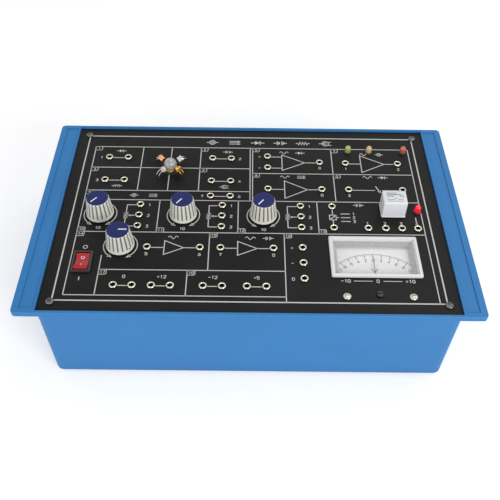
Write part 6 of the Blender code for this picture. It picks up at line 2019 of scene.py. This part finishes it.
@dataclass
class Works:
    """What lies inside the case."""

    finishes: dict[str, Finish] = field(default_factory=lambda: {
        "transformer_core": CORE_STEEL, "transformer_winding": COPPER_WIRE, "main_board": BOARD_GREEN})

    def build(self) -> None:
        """Dress the inner pieces."""
        for node, finish in self.finishes.items():
            cover(node, finish)
        for key in ("a", "b", "c", "offset"):
            cover(f"pot_body_{key}", STEEL)
            cover(f"pot_shaft_{key}", BRASS)


@dataclass
class Studio:
    """Floor, light and camera."""

    focal_px: float = 707.738
    frame_px: float = 500.0
    sensor: float = 36.0
    eye: Point = (-2.992, -403.310, 487.041)
    pitch: float = 0.8435319
    yaw: float = -0.0078582
    roll: float = -0.0171605
    floor_half: float = 4.0
    ambient: float = 0.46
    key_watts: float = 9.0
    fill_watts: float = 4.0
    top_watts: float = 3.0

    def build(self) -> None:
        """Set up the studio."""
        self.camera()
        self.floor()
        self.world()
        self.lamp("key", (0.75, -1.05, 0.75), self.key_watts, 0.6)
        self.lamp("fill", (-0.8, -0.9, 0.6), self.fill_watts, 0.9)
        self.lamp("top", (0.5, 0.5, 1.2), self.top_watts, 0.8)
        scene = bpy.context.scene
        scene.view_settings.view_transform = "Standard"

    def camera(self) -> None:
        """Place the camera where the picture was taken."""
        forward = Vector((-sin(self.yaw) * cos(self.pitch), cos(self.yaw) * cos(self.pitch), -sin(self.pitch)))
        right = Vector((cos(self.yaw), sin(self.yaw), 0.0))
        down = forward.cross(right)
        image_x = right * cos(self.roll) + down * sin(self.roll)
        image_y = -right * sin(self.roll) + down * cos(self.roll)
        data = bpy.data.cameras.new("view")
        data.sensor_width = self.sensor
        data.lens = self.focal_px * self.sensor / self.frame_px
        data.clip_start, data.clip_end = 0.01, 50.0
        camera = bpy.data.objects.new("view", data)
        turn = Matrix((image_x, -image_y, -forward)).transposed()
        camera.matrix_world = Matrix.Translation(Vector(self.eye) * MM) @ turn.to_4x4()
        bpy.context.scene.collection.objects.link(camera)
        bpy.context.scene.camera = camera

    def floor(self) -> None:
        """Lay the pale floor."""
        bm = bmesh.new()
        h = self.floor_half
        bm.faces.new([bm.verts.new(p) for p in ((-h, -h, 0), (h, -h, 0), (h, h, 0), (-h, h, 0))])
        mesh = bpy.data.meshes.new("floor")
        bm.to_mesh(mesh)
        bm.free()
        floor = bpy.data.objects.new("floor", mesh)
        bpy.context.scene.collection.objects.link(floor)
        white = bpy.data.materials.new("floor_white")
        tree = Tree(white)
        grain = tree.noise(40.0, 3.0, 0.6)
        seen = self.seen(tree)
        tree.surface(Base__Color=tree.mixed(grain, (0.80, 0.80, 0.80), (0.84, 0.84, 0.84)), Roughness=0.8,
                     Specular__IOR__Level=0.1)
        tree.surface(Emission__Color=tree.mixed(seen, (0.0, 0.0, 0.0), (1.0, 1.0, 1.0)), Emission__Strength=0.42)
        mesh.materials.append(white)

    @staticmethod
    def seen(tree: Tree) -> Signal:
        """Return 1 for the rays that see a surface straight, in a mirror or through glass.

        Args:
            tree: The tree that they light.

        Returns:
            The share, 0 or 1.
        """
        path = tree.node("ShaderNodeLightPath")
        camera, glossy, through = (Signal(tree, path.outputs[f"Is {kind} Ray"])
                                   for kind in ("Camera", "Glossy", "Transmission"))
        return (camera + glossy + through).clamped()

    def world(self) -> None:
        """Set a soft even light that shows as white."""
        world = bpy.data.worlds.new("studio")
        tree = Tree(world, "Background")
        light = (self.ambient, self.ambient, self.ambient * 1.02)
        tree.surface(Color=tree.mixed(self.seen(tree), light, (1.0, 1.0, 1.0)), Strength=1.0)
        bpy.context.scene.world = world

    def lamp(self, name: str, place: Point, watts: float, size: float) -> None:
        """Hang a soft box that looks at the object.

        Args:
            name: Its name.
            place: Where it hangs, in metres.
            watts: Its power.
            size: Its side, in metres.
        """
        data = bpy.data.lights.new(name, "AREA")
        data.energy = watts
        data.shape = "SQUARE"
        data.size = size
        light = bpy.data.objects.new(name, data)
        light.location = place
        aim = Vector((0.0, 0.0, 0.04)) - Vector(place)
        light.rotation_euler = aim.to_track_quat("-Z", "Y").to_euler()
        bpy.context.scene.collection.objects.link(light)


def main() -> None:
    """Build the studio and the object."""
    logging.basicConfig(level=logging.INFO, format="%(name)s: %(message)s")
    assemblies = [
        Studio(), CaseShell(), PatchSockets(), PanelPrint(),
        SetKnob("a", Body.KNOB_A, -140.0), SetKnob("b", Body.KNOB_B, -143.0),
        SetKnob("c", Body.KNOB_C, -143.0), SetKnob("offset", Body.KNOB_OFFSET, 90.0),
        LampAndSensors(), Relay(), Indicators(), PowerSwitch(), PanelMeter(), MainsInlet(), Works(),
    ]
    for assembly in assemblies:
        assembly.build()
        log.info("%s built", type(assembly).__name__)


if __name__ == "__main__":
    main()
